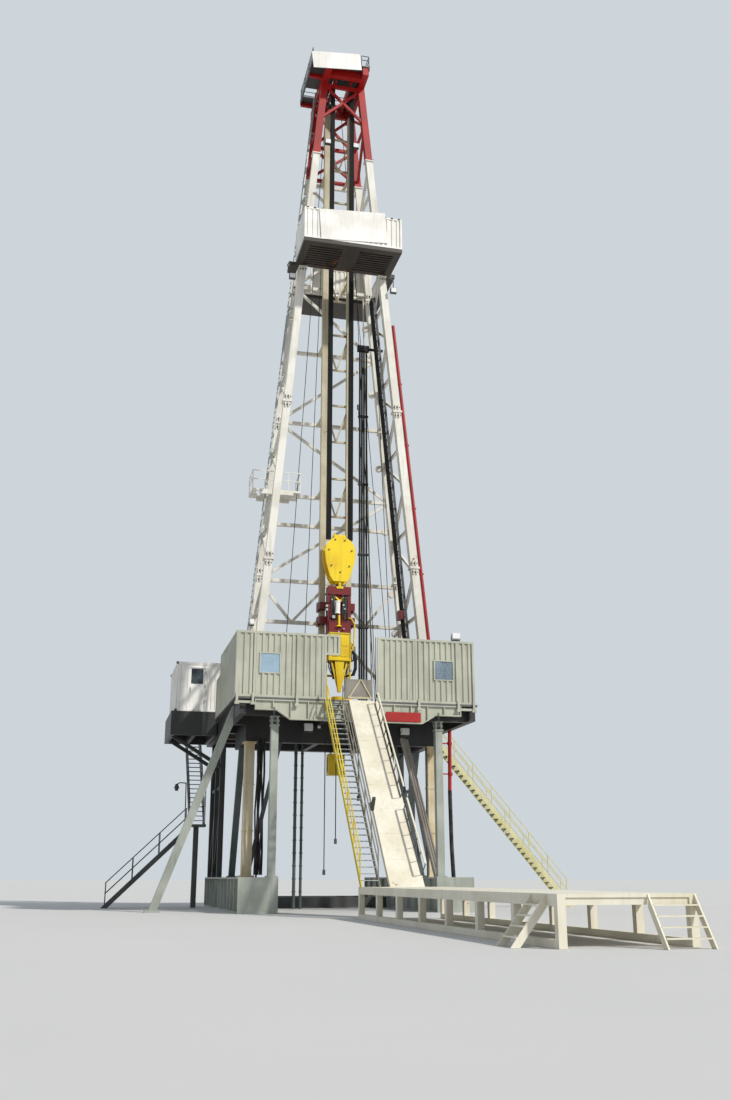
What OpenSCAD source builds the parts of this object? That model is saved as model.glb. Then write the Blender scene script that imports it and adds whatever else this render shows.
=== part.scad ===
// Land drilling rig with a four-leg mast on a raised floor, as a 1:2 scale model.
// Every size is in millimetres of the model, so one metre of the real rig is 500.
// +X is to the right seen from the pipe ramp, +Y runs away from the ramp, +Z is up.
// Modules are drawn from a datum on the rig's centre line under the guide rails, and
// rig_frame() moves them so that the origin is in the middle of the footprint.

/* [Substructure] */
// Height of the two base boxes
base_h = 750; // [650:10:850]
// Width of a base box across the rig
base_w = 875; // [840:5:900]
// Distance of a base box's middle from the centre line
base_x = 2237; // [2225:1:2250]
// Side of a front leg's square tube
front_leg_s = 165; // [140:5:180]
// Distance of a front leg from the centre line
front_leg_x = 1935; // [1920:5:1950]
// Side of a main column's square tube
column_s = 225; // [200:5:250]
// Side of a raking leg's square tube
raking_s = 150; // [120:5:170]
// Side of an inner brace's square tube
brace_s = 90; // [70:5:100]
// Side of a rear post's square tube
post_s = 130; // [100:5:140]
// Side of the long strut that stands on the ground
strut_s = 175; // [150:5:180]
// Distance of the strut's foot from the centre line
strut_foot_x = 4375; // [4300:25:4500]

/* [Drill floor] */
// Height of the deck's top above the ground
floor_top = 4625; // [4600:5:4650]
// Thickness of the deck
deck_t = 50; // [40:5:60]
// Width of the deck across the rig
floor_w = 5600; // [5560:10:5640]
// Distance of the deck's front edge from the datum
floor_front = 3000; // [2980:10:3020]
// Distance of the deck's rear edge from the datum
floor_rear = 4000; // [3950:10:4050]
// Depth of the girders along the deck's edge
edge_h = 325; // [280:5:340]
// Depth of the beams under the mast's feet
main_h = 725; // [650:5:760]
// Depth of the front girder's shallow ends
front_girder_h = 235; // [200:5:260]
// Extra depth of the front girder's middle
front_girder_drop = 200; // [150:5:240]
// Radius of the rotary table's bore
rotary_r = 238; // [200:1:260]

/* [Wind walls] */
// Height of the wind walls
wall_h = 1500; // [1400:10:1600]
// Depth of a wind wall's frame
wall_t = 50; // [46:1:56]
// Height of the low side walls
low_wall_h = 1000; // [800:10:1200]
// Pitch of the corrugated sheet
wave_pitch = 139; // [120:1:160]
// Thickness of the corrugated sheet
sheet_t = 8; // [6:1:10]
// Width of a wind wall's window
window_w = 440; // [400:5:480]
// Height of a wind wall's window
window_h = 430; // [380:5:460]

/* [Mast] */
// Distance of a leg's foot from the centre line
mast_foot_x = 2260; // [2250:5:2270]
// Distance of a leg's top from the centre line
mast_top_x = 550; // [530:5:580]
// Height of the legs' top above the ground
mast_top = 23300; // [23200:50:23400]
// Distance of the front legs' feet in front of the datum
mast_front_foot = 995; // [985:5:1005]
// Distance of the front legs' top in front of the datum
mast_front_top = 542; // [530:2:560]
// Distance of the rear legs behind the datum
mast_rear = 750; // [740:5:760]
// Side of a leg's square tube
leg_s = 190; // [170:5:200]
// Height of the mast's top section above its joint
top_section_h = 2500; // [2400:50:2600]
// Side of a girt between the legs
girt_s = 90; // [80:5:100]
// Side of a diagonal between the legs
diagonal_s = 70; // [60:5:80]

/* [Monkey board] */
// Height of the monkey board's deck above the ground
board_top = 17100; // [17050:10:17150]
// Width of the fingerboard
board_w = 2700; // [2640:20:2800]
// Distance of the fingerboard's front edge from the datum
board_front = 2080; // [2000:20:2140]
// Distance of the fingerboard's rear edge from the datum
board_back = 765; // [755:5:775]
// Width of the walkway behind and beside the mast
walkway_w = 3000; // [2960:20:3060]
// Distance of the walkway's rear edge from the datum
walkway_rear = 1925; // [1850:25:2000]
// Height of the monkey board's walls
board_wall_h = 925; // [850:25:950]

/* [Hoist] */
// Distance of a guide rail's middle from the centre line
rail_x = 350; // [345:1:355]
// Width and depth of a guide rail
rail_s = 150; // [140:2:156]
// Distance of the guide rails' top below the legs' top
rail_drop = 700; // [600:50:900]
// Width of the travelling block
block_w = 815; // [780:5:820]
// Height of the travelling block's lower tip above the ground
block_bottom = 8045; // [8040:5:8060]
// Height of the travelling block
block_h = 1205; // [1190:5:1220]
// Thickness of the travelling block
block_t = 380; // [340:10:390]

/* [Ramp and catwalk] */
// Width of the pipe ramp
ramp_w = 680; // [640:10:690]
// Distance of the ramp's middle from the centre line
ramp_x = 50; // [45:1:55]
// Horizontal run of the ramp and of the stair beside it
ramp_run = 3500; // [3400:20:3600]
// Width of the stair beside the ramp
ramp_stair_w = 375; // [360:5:380]
// Height of the catwalk's deck above the ground
catwalk_h = 575; // [550:5:600]
// Width of the catwalk
catwalk_w = 1710; // [1700:10:1760]
// Length of the catwalk's deck
catwalk_l = 9300; // [9000:50:9400]

/* [Stairs and doghouse] */
// Horizontal run of the right stair
right_run = 3950; // [3850:25:4050]
// Width of the side stairs
stair_w = 400; // [380:5:420]
// Height of the left stair's landing above the ground
landing_h = 2075; // [2000:25:2150]
// Horizontal run of the left stair's lower flight
lower_run = 2150; // [2050:25:2250]
// Horizontal run of the left stair's upper flight
upper_run = 2400; // [2300:25:2500]
// Height of a handrail over the deck or the stair's nosings
handrail_h = 520; // [480:10:560]
// Width of the doghouse
doghouse_w = 1220; // [1180:10:1240]
// Length of the doghouse
doghouse_l = 2020; // [1900:20:2100]
// Height of the doghouse
doghouse_h = 1300; // [1200:10:1350]

/* [Hidden] */

// Colours of the finishes
cream = "#E5E3D8";
beige = "#C9BFA3";
grey_green = "#B9BAA9";
light_grey = "#AAAFA5";
dark_grey = "#4B4D4C";
white = "#F4F2EE";
red = "#B3231B";
dark_red = "#8E1B1E";
yellow = "#E8C512";
rail_yellow = "#D8C33A";
black = "#1E1E20";

// Wall's, deck's and base's derived places
deck_under = floor_top - deck_t;
half_floor = floor_w / 2;
main_under = deck_under - main_h;
edge_under = deck_under - edge_h;
column_y = -mast_front_foot;
edge_beam_w = 150;
side_beam_x = half_floor - 100;
base_front = floor_front - 200;
front_leg_y = -floor_front + 365;
top_joint = mast_top - top_section_h;
rail_top = mast_top - rail_drop;

// A height on the legs below the top section, as a share of their length there
function leg_z(share) = floor_top + share * (top_joint - floor_top);

// The footprint's limits, from which the origin's place follows
right_end = half_floor + right_run;
lower_head_x = half_floor + 475;
left_end = lower_head_x + lower_run;
catwalk_head = floor_front + ramp_run - 200;
end_stair_run = 400;
front_end = catwalk_head + catwalk_l + end_stair_run;
landing_y = 2300;
landing_l = 500;
head_l = 450;
rear_end = landing_y + landing_l + upper_run + head_l;

// Moves a shape from the datum to the frame whose origin is mid footprint
module rig_frame()
  translate([(left_end - right_end) / 2, (front_end - rear_end) / 2, 0]) children();

// A bar with a w by d section from p to q
module bar(p, q, w, d) {
  v = q - p;
  l = norm(v);
  translate(p)
    rotate([-asin(v[1] / l), atan2(v[0], v[2]), 0])
      translate([-w / 2, -d / 2, 0])
        cube([w, d, l]);
}

// A round rod of radius r from p to q
module rod(p, q, r) {
  v = q - p;
  l = norm(v);
  translate(p)
    rotate([-asin(v[1] / l), atan2(v[0], v[2]), 0])
      cylinder(h = l, r = r, $fn = 24);
}

// A box between two opposite corners
module box(a, b)
  translate([min(a[0], b[0]), min(a[1], b[1]), min(a[2], b[2])])
    cube([abs(b[0] - a[0]), abs(b[1] - a[1]), abs(b[2] - a[2])]);

// Everything between two heights
module slab(z0, z1)
  translate([-20000, -20000, z0]) cube([40000, 40000, z1 - z0]);

// Corrugated sheet from x = 0 to l and z = 0 to h, with trapezoid waves from y = 0
wave_d = 36;
module corrugated(l, h) {
  n = round(l / wave_pitch);
  p = l / n;
  ridge = wave_d - sheet_t;
  front = [for (i = [0 : n - 1]) each
    [[i * p, ridge], [(i + 0.12) * p, 0], [(i + 0.5) * p, 0], [(i + 0.62) * p, ridge]]];
  back = [for (i = [n - 1 : -1 : 0]) each
    [[(i + 0.58) * p, wave_d], [(i + 0.46) * p, sheet_t],
     [(i + 0.16) * p, sheet_t], [(i + 0.04) * p, wave_d]]];
  linear_extrude(h) polygon(concat(front, [[l, ridge], [l, wave_d]], back, [[0, wave_d]]));
}

// A framed corrugated wall from x = 0 to l, standing on z = 0, with its front at y = 0
frame_w = 50;
module framed_wall(l, h, seams = []) {
  box([0, 0, 0], [l, wall_t, frame_w]);
  box([0, 0, h - frame_w], [l, wall_t, h]);
  for (x = concat([0, l - frame_w], seams))
    box([x, 0, 0], [x + frame_w, wall_t, h]);
  translate([frame_w / 2, 7, frame_w / 2]) corrugated(l - frame_w, h - frame_w);
}

// A flat handrail from x = 0 to l at z = 0, 20 thick in y
rail_t = 20;
module handrail(l, posts, h = handrail_h) {
  for (i = [0 : posts - 1])
    translate([i * (l - rail_t) / (posts - 1), 0, 0]) cube([rail_t, rail_t, h]);
  for (z = [h / 2, h - rail_t])
    translate([0, 0, z]) cube([l, rail_t, rail_t]);
}

// A flat bar w wide from p to q, as an outline
module flat_bar(p, q, w) {
  v = q - p;
  translate(p) rotate(atan2(v[1], v[0])) translate([0, -w / 2]) square([norm(v), w]);
}

// One side of a flight that climbs along +X: the stringer, its posts and its rails
stringer_v = 150;
module flight_side(run, rise, posts = 5, railed = true) {
  slope = rise / run;
  first = 0.04 * run;
  step = (0.94 * run - first) / (posts - 1);
  last = first + step * (posts - 1);
  rotate([90, 0, 0]) linear_extrude(rail_t) {
    polygon([[0, 0], [stringer_v / slope, 0], [run, rise - stringer_v], [run, rise]]);
    if (railed) {
      for (i = [0 : posts - 1]) {
        x = first + i * step;
        translate([x, x * slope - 30]) square([rail_t, handrail_h + 30]);
      }
      for (z = [handrail_h / 2, handrail_h])
        flat_bar([first - 6, first * slope + z], [last + rail_t + 6, (last + rail_t) * slope + z], rail_t);
    }
  }
}

// The treads of a flight w wide, clear of one another, between its two sides
tread_d = 120;
module flight_treads(run, rise, w, n, d = tread_d) {
  for (i = [1 : n - 1])
    translate([i * run / n - 15, rail_t, i * rise / n - 16]) cube([d, w - 2 * rail_t, 16]);
}

// Both sides of a flight w wide, from y = 0 to w
module flight_sides(run, rise, w, posts = 5, railed = true)
  for (y = [rail_t, w])
    translate([0, y, 0]) flight_side(run, rise, posts, railed);

// Substructure

module base_box(side) {
  flange_t = 40;
  inset = 60;
  rib_n = 11;
  l = base_front + floor_rear;
  color(light_grey) translate([side * base_x - base_w / 2, -base_front, 0]) {
    cube([base_w, l, flange_t]);
    translate([0, 0, base_h - flange_t]) cube([base_w, l, flange_t]);
    translate([inset, 0, 0]) cube([base_w - 2 * inset, l, base_h]);
    for (i = [0 : rib_n])
      translate([0, i * (l - 30) / rib_n, 0]) cube([base_w, 30, base_h]);
  }
}

module base_boxes()
  for (side = [-1, 1])
    base_box(side);

// The beams that hold the base boxes apart, behind the well
module base_spreaders() {
  inner = base_x - base_w / 2;
  color(dark_grey)
    for (y = [1700, floor_rear - 300])
      box([-inner, y - 90, 0], [inner, y + 90, 260]);
}

// A front leg with a base plate and a pinned clevis under the floor
module front_leg(side) {
  s = front_leg_s;
  clevis_h = 190;
  color(light_grey) translate([side * front_leg_x, front_leg_y, base_h]) {
    h = edge_under - base_h;
    translate([-s / 2 - 40, -s / 2 - 40, 0]) cube([s + 80, s + 80, 30]);
    translate([-s / 2, -s / 2, 0]) cube([s, s, h - clevis_h]);
    translate([-s / 2 - 20, -s / 2 - 20, h - clevis_h - 30]) cube([s + 40, s + 40, 30]);
    for (x = [-s / 2, s / 2 - 45])
      translate([x, -s / 2 + 10, h - clevis_h]) cube([45, s - 20, clevis_h - 25]);
    translate([-s / 2 - 30, 0, h - clevis_h / 2])
      rotate([0, 90, 0]) cylinder(h = s + 60, r = 32, $fn = 32);
    translate([-s / 2 - 20, -s / 2 - 20, h - 25]) cube([s + 40, s + 40, 25]);
  }
}

module front_legs()
  for (side = [-1, 1])
    front_leg(side);

// A main column under a front foot of the mast
module main_column(side) {
  s = column_s;
  h = main_under - base_h;
  color(beige) translate([side * mast_foot_x, column_y, base_h]) {
    translate([-s / 2 - 60, -s / 2 - 60, 0]) cube([s + 120, s + 120, 40]);
    translate([-s / 2, -s / 2, 0]) cube([s, s, h]);
    for (z = [h * 0.33, h * 0.67])
      translate([-s / 2 - 15, -s / 2 - 15, z]) cube([s + 30, s + 30, 30]);
    translate([-s / 2 - 40, -s / 2 - 40, h - 35]) cube([s + 80, s + 80, 35]);
  }
}

module main_columns()
  for (side = [-1, 1])
    main_column(side);

// A leg that leans forward from the base box to the floor's main girder
module raking_leg(side) {
  foot = [side * mast_foot_x, 1600, base_h];
  head = [side * mast_foot_x, 300, main_under];
  reach = (head - foot) / norm(head - foot) * 200;
  color(light_grey) {
    intersection() {
      bar(foot - reach, head + reach, raking_s, raking_s);
      slab(base_h, main_under);
    }
    translate(foot + [-raking_s / 2 - 40, -170, 0]) cube([raking_s + 80, 300, 30]);
  }
}

module raking_legs()
  for (side = [-1, 1])
    raking_leg(side);

// Braces that lean inwards from the main columns, two of them on the right
module inner_braces() {
  runs = [[-mast_foot_x, -1500], [mast_foot_x, 1620], [mast_foot_x - 230, 1300]];
  color(light_grey)
    difference() {
      for (r = runs)
        intersection() {
          bar([r[0], column_y, base_h - 100], [r[1], column_y, main_under + 100], brace_s, brace_s);
          slab(base_h, main_under);
        }
      for (side = [-1, 1])
        main_column(side);
    }
}

// Posts with a tie and a diagonal between the base boxes and the floor's rear half
rear_post_x = 2560;
rear_post_ys = [1750, 2800, 3850];
module rear_posts() {
  color(dark_grey)
    for (side = [-1, 1])
      intersection() {
        translate([side * rear_post_x, 0, 0]) {
          for (y = rear_post_ys)
            box([-post_s / 2, y - post_s / 2, base_h], [post_s / 2, y + post_s / 2, edge_under]);
          box([-35, rear_post_ys[0], 2950], [35, rear_post_ys[2], 3030]);
          bar([0, rear_post_ys[0], 2950], [0, rear_post_ys[1], base_h + 60], 70, 70);
          bar([0, rear_post_ys[1], 2950], [0, rear_post_ys[2], base_h + 60], 70, 70);
        }
        slab(base_h, edge_under);
      }
}

// The long strut from the ground to the floor's left edge
strut_foot_front = 1250;
module wind_strut() {
  foot = [-strut_foot_x, -strut_foot_front, 0];
  head = [-half_floor + 30, -1750, edge_under + 150];
  reach = (head - foot) / norm(head - foot) * 300;
  color(light_grey)
    difference() {
      union() {
        intersection() {
          bar(foot - reach, head + reach, strut_s, strut_s);
          slab(0, deck_under);
        }
        translate(foot + [-170, -150, 0]) cube([340, 300, 40]);
      }
      box([-side_beam_x - edge_beam_w / 2, -20000, 0], [20000, 20000, floor_top]);
    }
}

// The floor's grillage under the deck
module floor_frame() {
  x1 = side_beam_x + edge_beam_w / 2;
  front = -floor_front + 100;
  rear = floor_rear - 20;
  color(dark_grey) difference() {
    union() {
      for (side = [-1, 1]) {
        box([side * x1, front, edge_under], [side * (x1 - edge_beam_w), rear, deck_under]);
        box([side * (mast_foot_x - 110), column_y - 110, main_under],
            [side * (mast_foot_x + 110), mast_rear + 110, deck_under]);
        box([side * 560, column_y - 110, main_under], [side * 690, mast_rear + 110, deck_under]);
        box([side * 560, front, edge_under], [side * 690, rear, deck_under]);
      }
      for (y = [column_y, mast_rear])
        box([-x1, y - 110, main_under], [x1, y + 110, deck_under]);
      for (y = [front_leg_y, 1900, 2850, rear - 60])
        box([-x1, y - 75, edge_under], [x1, y + 60, deck_under]);
    }
    for (side = [-1, 1])
      box([side * (mast_foot_x + 111), -floor_front, 0],
          [side * (x1 + 1), mast_rear + 400, edge_under]);
  }
}

// The trolley that hangs from the floor's rear main beam for handling the well head
module cellar_trolley() {
  w = 420;
  h = 540;
  z0 = main_under - 50 - h;
  color(yellow) translate([15, mast_rear - 150, z0]) {
    difference() {
      cube([w, 300, h]);
      translate([-1, 70, 80]) cube([w + 2, 160, h - 160]);
    }
    for (x = [60, w - 100])
      translate([x, 130, h]) cube([40, 40, 50]);
    translate([w / 2 - 60, 150, 40]) rotate([0, 90, 0]) cylinder(h = 120, r = 30, $fn = 24);
  }
}

// The girder across the front: a deep web with flanges and stiffeners
girder_end_l = 2445;
girder_end_r = 2400;
module front_girder() {
  z0 = deck_under;
  z1 = deck_under - front_girder_h;
  z2 = z1 - front_girder_drop;
  low = [[-girder_end_l, z1], [-1950, z1], [-1640, z2], [1460, z2], [1795, z1], [girder_end_r, z1]];
  web = concat([[-girder_end_l, z0]], low, [[girder_end_r, z0]]);
  flange_t = 25;
  module plate(points, y, t)
    translate([0, y + t, 0]) rotate([90, 0, 0]) linear_extrude(t) polygon(points);
  color(grey_green) {
    plate(web, -floor_front + 45, 30);
    box([-girder_end_l, -floor_front, z0 - flange_t], [girder_end_r, -floor_front + 100, z0]);
    for (i = [0 : len(low) - 2]) {
      a = low[i];
      b = low[i + 1];
      plate([a, b, b + [0, flange_t], a + [0, flange_t]], -floor_front, 100);
    }
    for (i = [0 : 12]) {
      x = -girder_end_l + 12 + i * (girder_end_l + girder_end_r - 24) / 12;
      low_z = lookup(x, [for (p = low) p]);
      box([x - 10, -floor_front, low_z], [x + 10, -floor_front + 100, z0]);
    }
  }
}

// The deck with the well's opening
well_y = -500;
table_r = 440;
table_body_r = 375;
module floor_deck() {
  color(dark_grey) difference() {
    union() {
      box([-half_floor, -floor_front, deck_under], [half_floor, floor_rear, floor_top]);
      box([-left_corner, -floor_front, deck_under], [-half_floor, 900, floor_top]);
    }
    translate([0, well_y, deck_under - 1]) cylinder(h = deck_t + 2, r = table_r, $fn = 64);
  }
}

// The rotary table, hung in the deck between the centre beams
module rotary_table() {
  color(dark_red) translate([0, well_y, 0]) difference() {
    union() {
      translate([0, 0, deck_under - 90]) cylinder(h = deck_t + 90, r = table_body_r, $fn = 64);
      translate([0, 0, deck_under]) cylinder(h = deck_t, r = table_r, $fn = 64);
      translate([0, 0, floor_top]) cylinder(h = 12, r = table_r + 15, $fn = 64);
      box([-560, -120, deck_under - 90], [560, 120, deck_under]);
    }
    translate([0, 0, deck_under - 100]) cylinder(h = 400, r = rotary_r, $fn = 64);
  }
}

// Wind walls

door_w = 325;
door_h = 1025;
wall_left_end = -500;
wall_right_end = 385;
left_corner = half_floor + 100;
right_corner = half_floor - 50;
window_z = 565;

// A window's opening and its frame, in a wall's own plane
module window_hole(x) box([x, -1, window_z], [x + window_w, wall_t + 1, window_z + window_h]);

module window_frame(x) difference() {
  box([x - 25, 0, window_z - 25], [x + window_w + 25, wall_t, window_z + window_h + 25]);
  window_hole(x);
}

left_window_x = -2345;
right_window_x = 1775;

// The left front wall, with a window and with the stair's doorway at its inner end
module windwall_front_left() {
  l = left_corner + wall_left_end;
  wx = left_window_x + left_corner;
  color(grey_green) translate([-left_corner, -floor_front, floor_top]) difference() {
    union() {
      difference() {
        union() {
          framed_wall(l, wall_h, [l - door_w - frame_w, l - door_w - 690, 400]);
          box([l - door_w - frame_w, 0, door_h], [l, wall_t, door_h + frame_w]);
        }
        window_hole(wx);
      }
      window_frame(wx);
    }
    box([l - door_w, -1, -1], [l + 1, wall_t + 1, door_h]);
  }
}

module windwall_front_right() {
  l = right_corner - wall_right_end;
  wx = right_window_x - wall_right_end;
  color(grey_green) translate([wall_right_end, -floor_front, floor_top]) {
    difference() {
      framed_wall(l, wall_h, [910, 1910]);
      window_hole(wx);
    }
    window_frame(wx);
  }
}

// The side walls, high at the front and low up to the doghouse and the stair
high_side_l = 3050;
low_side_l = 800;
module windwall_sides() {
  color(grey_green)
    for (x = [-left_corner + wall_t / 2, right_corner - wall_t / 2])
      translate([x, -floor_front + wall_t, floor_top])
        rotate([0, 0, 90]) translate([0, -wall_t / 2, 0]) {
          framed_wall(high_side_l, wall_h, [1100, 2050]);
          translate([high_side_l, 0, 0]) framed_wall(low_side_l, low_wall_h);
        }
}

module window_panes() {
  color(black)
    for (x = [left_window_x, right_window_x])
      translate([x, -floor_front + 20, floor_top + window_z]) cube([window_w, 8, window_h]);
}

// The low gate that closes the ramp's opening: a sheet and an inverted V of angles
gate_h = 500;
module v_door_gate() {
  outline = [[-390, 0], [250, 0], [130, gate_h], [-270, gate_h]];
  color(beige) translate([0, -floor_front + 45, floor_top]) rotate([90, 0, 0]) {
    linear_extrude(15) polygon(outline);
    translate([0, 0, 15]) {
      linear_extrude(20) polygon([[-390, 0], [-350, 0], [-235, gate_h], [-270, gate_h]]);
      linear_extrude(20) polygon([[250, 0], [210, 0], [95, gate_h], [130, gate_h]]);
      linear_extrude(20) polygon([[-390, 0], [250, 0], [250 - 8, 35], [-390 + 8, 35]]);
    }
  }
}

// Handrails on the deck's rear half
right_stair_y = 950;
module floor_handrails() {
  color(rail_yellow) {
    for (side = [-1, 1]) {
      y0 = side > 0 ? right_stair_y + stair_w + 40 : 3480;
      translate([side * (half_floor - 10) + 10, y0, floor_top])
        rotate([0, 0, 90]) handrail(floor_rear - y0 - 30, side > 0 ? 5 : 2);
    }
    translate([-1900, floor_rear - rail_t, floor_top]) handrail(half_floor + 1900 - 40, 7);
  }
}

// Doghouse

doghouse_over = 140;
doghouse_x = -half_floor + doghouse_over - doghouse_w;
doghouse_y = 1380;
doghouse_z = 4865;
door_x = 370;
door_w2 = 440;
door_h2 = 1120;

// The doghouse's platform, a grillage off the floor's left edge on two braces, with a sill on the deck
module doghouse_platform() {
  x0 = doghouse_x - 105;
  y0 = doghouse_y - 80;
  y1 = doghouse_y + doghouse_l + 40;
  color(dark_grey) {
    box([x0, y0, doghouse_z - 50], [-half_floor + doghouse_over, y1, doghouse_z]);
    box([-half_floor, y0, floor_top], [-half_floor + doghouse_over, y1, doghouse_z]);
    for (x = [x0, x0 + 560, -half_floor - 100])
      box([x, y0, edge_under], [x + 100, y1, doghouse_z]);
    for (y = [y0, y1 - 100])
      box([x0, y, edge_under], [-half_floor, y + 100, doghouse_z]);
    for (y = [rear_post_ys[0], rear_post_ys[1]])
      intersection() {
        bar([x0 + 50, y, edge_under + 50], [-rear_post_x, y, edge_under - 770], brace_s, brace_s);
        box([x0, y - brace_s, 0], [-rear_post_x - post_s / 2, y + brace_s, edge_under + 50]);
      }
  }
}

wall_thick = 40;

// The doghouse's rear wall and side walls
module doghouse_walls() {
  color(white) translate([doghouse_x, doghouse_y, doghouse_z]) {
    h = doghouse_h - 40;
    for (x = [0, doghouse_w - wall_thick])
      translate([x, wall_thick, 0]) cube([wall_thick, doghouse_l - wall_thick, h]);
    translate([wall_thick, doghouse_l - wall_thick, 0]) cube([doghouse_w - 2 * wall_thick, wall_thick, h]);
  }
}

// The doghouse's front wall with the door's leaf and its window
module doghouse_front() {
  color(white) translate([doghouse_x, doghouse_y, doghouse_z]) {
    difference() {
      cube([doghouse_w, wall_thick, doghouse_h - 40]);
      translate([door_x, -1, 30]) cube([door_w2, wall_thick + 2, door_h2]);
    }
    translate([door_x, 10, 30]) difference() {
      cube([door_w2, 25, door_h2]);
      translate([55, -1, 620]) cube([door_w2 - 110, 30, 430]);
    }
    translate([door_x + 55, 18, 650]) cube([door_w2 - 110, 8, 430]);
  }
}

module doghouse_roof() {
  color(white) translate([doghouse_x, doghouse_y, doghouse_z + doghouse_h - 40])
    cube([doghouse_w, doghouse_l, 40]);
}

// Stairs

// The left stair: a flight up to the landing, then one along the rig to the rear
left_stair_x = -half_floor - 75 - stair_w;
module left_stair_place_lower()
  translate([-left_end, landing_y + 50, 0]) children();

module left_stair_place_upper()
  translate([left_stair_x + stair_w, landing_y + landing_l, landing_h]) rotate([0, 0, 90]) children();

module left_stair_sides() {
  color(dark_grey) {
    left_stair_place_lower() flight_sides(lower_run, landing_h, stair_w, 4);
    left_stair_place_upper() flight_sides(upper_run, floor_top - landing_h, stair_w, 5);
  }
}

module left_stair_treads() {
  color(dark_grey) {
    left_stair_place_lower() flight_treads(lower_run, landing_h, stair_w, 17);
    left_stair_place_upper() flight_treads(upper_run, floor_top - landing_h, stair_w, 20);
  }
}

// The stair's two landings, the lower one on a post and the upper one off the floor
module left_stair_landings() {
  x0 = -lower_head_x;
  head_y = landing_y + landing_l + upper_run;
  color(dark_grey) {
    box([x0, landing_y, landing_h - 60], [left_stair_x + stair_w, landing_y + landing_l, landing_h]);
    box([x0 + 100, landing_y + 180, 0], [x0 + 230, landing_y + 310, landing_h - 60]);
    box([left_stair_x, head_y, floor_top - 110], [-2400, head_y + head_l, floor_top]);
    box([-2780, floor_rear, floor_top - 110], [-2400, head_y, floor_top]);
  }
}

module right_stair_place()
  translate([right_end, right_stair_y + stair_w, 0]) rotate([0, 0, 180]) children();

module right_stair_sides() {
  color(rail_yellow) right_stair_place() flight_sides(right_run, floor_top, stair_w, 8);
}

module right_stair_treads() {
  color(dark_grey) right_stair_place() flight_treads(right_run, floor_top, stair_w, 37);
}

// The stair and the ramp from the catwalk to the ramp's opening
ramp_rise = floor_top - catwalk_h;
ramp_stair_x = -475;
module ramp_stair_place()
  translate([ramp_stair_x, -floor_front - ramp_run, catwalk_h]) rotate([0, 0, 90]) children();

module ramp_stair_sides() {
  color(rail_yellow) ramp_stair_place() flight_sides(ramp_run, ramp_rise, ramp_stair_w, 7);
}

module ramp_stair_treads() {
  color(dark_grey) ramp_stair_place() flight_treads(ramp_run, ramp_rise, ramp_stair_w, 33);
}

// The pipe ramp: a bent plate with side flanges
module pipe_ramp() {
  slope = ramp_rise / ramp_run;
  plate_v = 45;
  flange_v = 150;
  module strip(v, w, drop)
    rotate([90, 0, 90]) linear_extrude(w)
      polygon([[0, 0], [(v + drop) / slope, 0], [ramp_run, ramp_rise - v - drop],
               [ramp_run, ramp_rise - drop], [drop / slope, 0]]);
  color(cream) translate([ramp_x - ramp_w / 2, -floor_front - ramp_run, catwalk_h]) {
    translate([30, 0, 0]) strip(plate_v, ramp_w - 60, 0);
    for (x = [0, ramp_w - 30])
      translate([x, 0, 0]) strip(flange_v, 30, 0);
    for (i = [1 : 7]) {
      y = i * ramp_run / 8;
      translate([30, y, y * slope - plate_v - 75]) cube([ramp_w - 60, 40, 60]);
    }
  }
}

// The handrail on the ramp's right side
module pipe_ramp_rail() {
  color(rail_yellow) translate([ramp_x + ramp_w / 2 + rail_t, -floor_front - ramp_run, catwalk_h])
    rotate([0, 0, 90]) translate([0, rail_t, 0]) difference() {
      flight_side(ramp_run, ramp_rise, 7);
      box([-10, -50, -10], [150, 50, 20]);
    }
}

// Catwalk

module catwalk_deck() {
  x0 = ramp_x - 55 - catwalk_w / 2;
  y0 = -catwalk_head - catwalk_l;
  color(beige) {
    box([x0, y0, catwalk_h - 40], [x0 + catwalk_w, -catwalk_head, catwalk_h]);
    for (i = [0 : 8]) {
      y = y0 + 20 + i * (catwalk_l - 140) / 8;
      box([x0 + 100, y, catwalk_h - 120], [x0 + catwalk_w - 100, y + 100, catwalk_h - 40]);
    }
  }
}

// The catwalk's side frames: a skid on the ground, posts and a beam under the deck
catwalk_posts = 8;
module catwalk_sides() {
  x0 = ramp_x - 55 - catwalk_w / 2;
  y0 = -catwalk_head - catwalk_l;
  top = catwalk_h - 40;
  color(cream)
    for (x = [x0, x0 + catwalk_w - 100])
      translate([x, y0, 0]) {
        cube([100, catwalk_l, 90]);
        translate([0, 0, top - 90]) cube([100, catwalk_l, 90]);
        for (i = [0 : catwalk_posts - 1])
          translate([0, i * (catwalk_l - 100) / (catwalk_posts - 1), 0]) cube([100, 100, top]);
      }
}

// The short stairs off the catwalk's near end and its left side
side_stair_w = 450;
short_tread_d = 80;
module catwalk_stairs() {
  x0 = ramp_x - 55 - catwalk_w / 2;
  y0 = -catwalk_head - catwalk_l;
  color(beige) {
    translate([x0 + catwalk_w - 20, y0 - end_stair_run, 0]) rotate([0, 0, 90]) {
      flight_sides(end_stair_run, catwalk_h, 600, 5, false);
      flight_treads(end_stair_run, catwalk_h, 600, 5, short_tread_d);
    }
    translate([x0 - side_stair_w, y0 + 300, 0]) {
      flight_sides(side_stair_w, catwalk_h, side_stair_w, 5, false);
      flight_treads(side_stair_w, catwalk_h, side_stair_w, 5, short_tread_d);
    }
  }
}

// Mast

function leg_x(z) = mast_foot_x + (mast_top_x - mast_foot_x) * (z - floor_top) / (mast_top - floor_top);
function front_y(z) = -mast_front_foot
  + (mast_front_foot - mast_front_top) * (z - floor_top) / (mast_top - floor_top);
function leg_at(side, rear, z) = [side * leg_x(z), rear ? mast_rear : front_y(z), z];

joints_z = [leg_z(0.2368), leg_z(0.5088), leg_z(0.7657), top_joint];
foot_t = 60;
flange_s = leg_s + 60;

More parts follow.
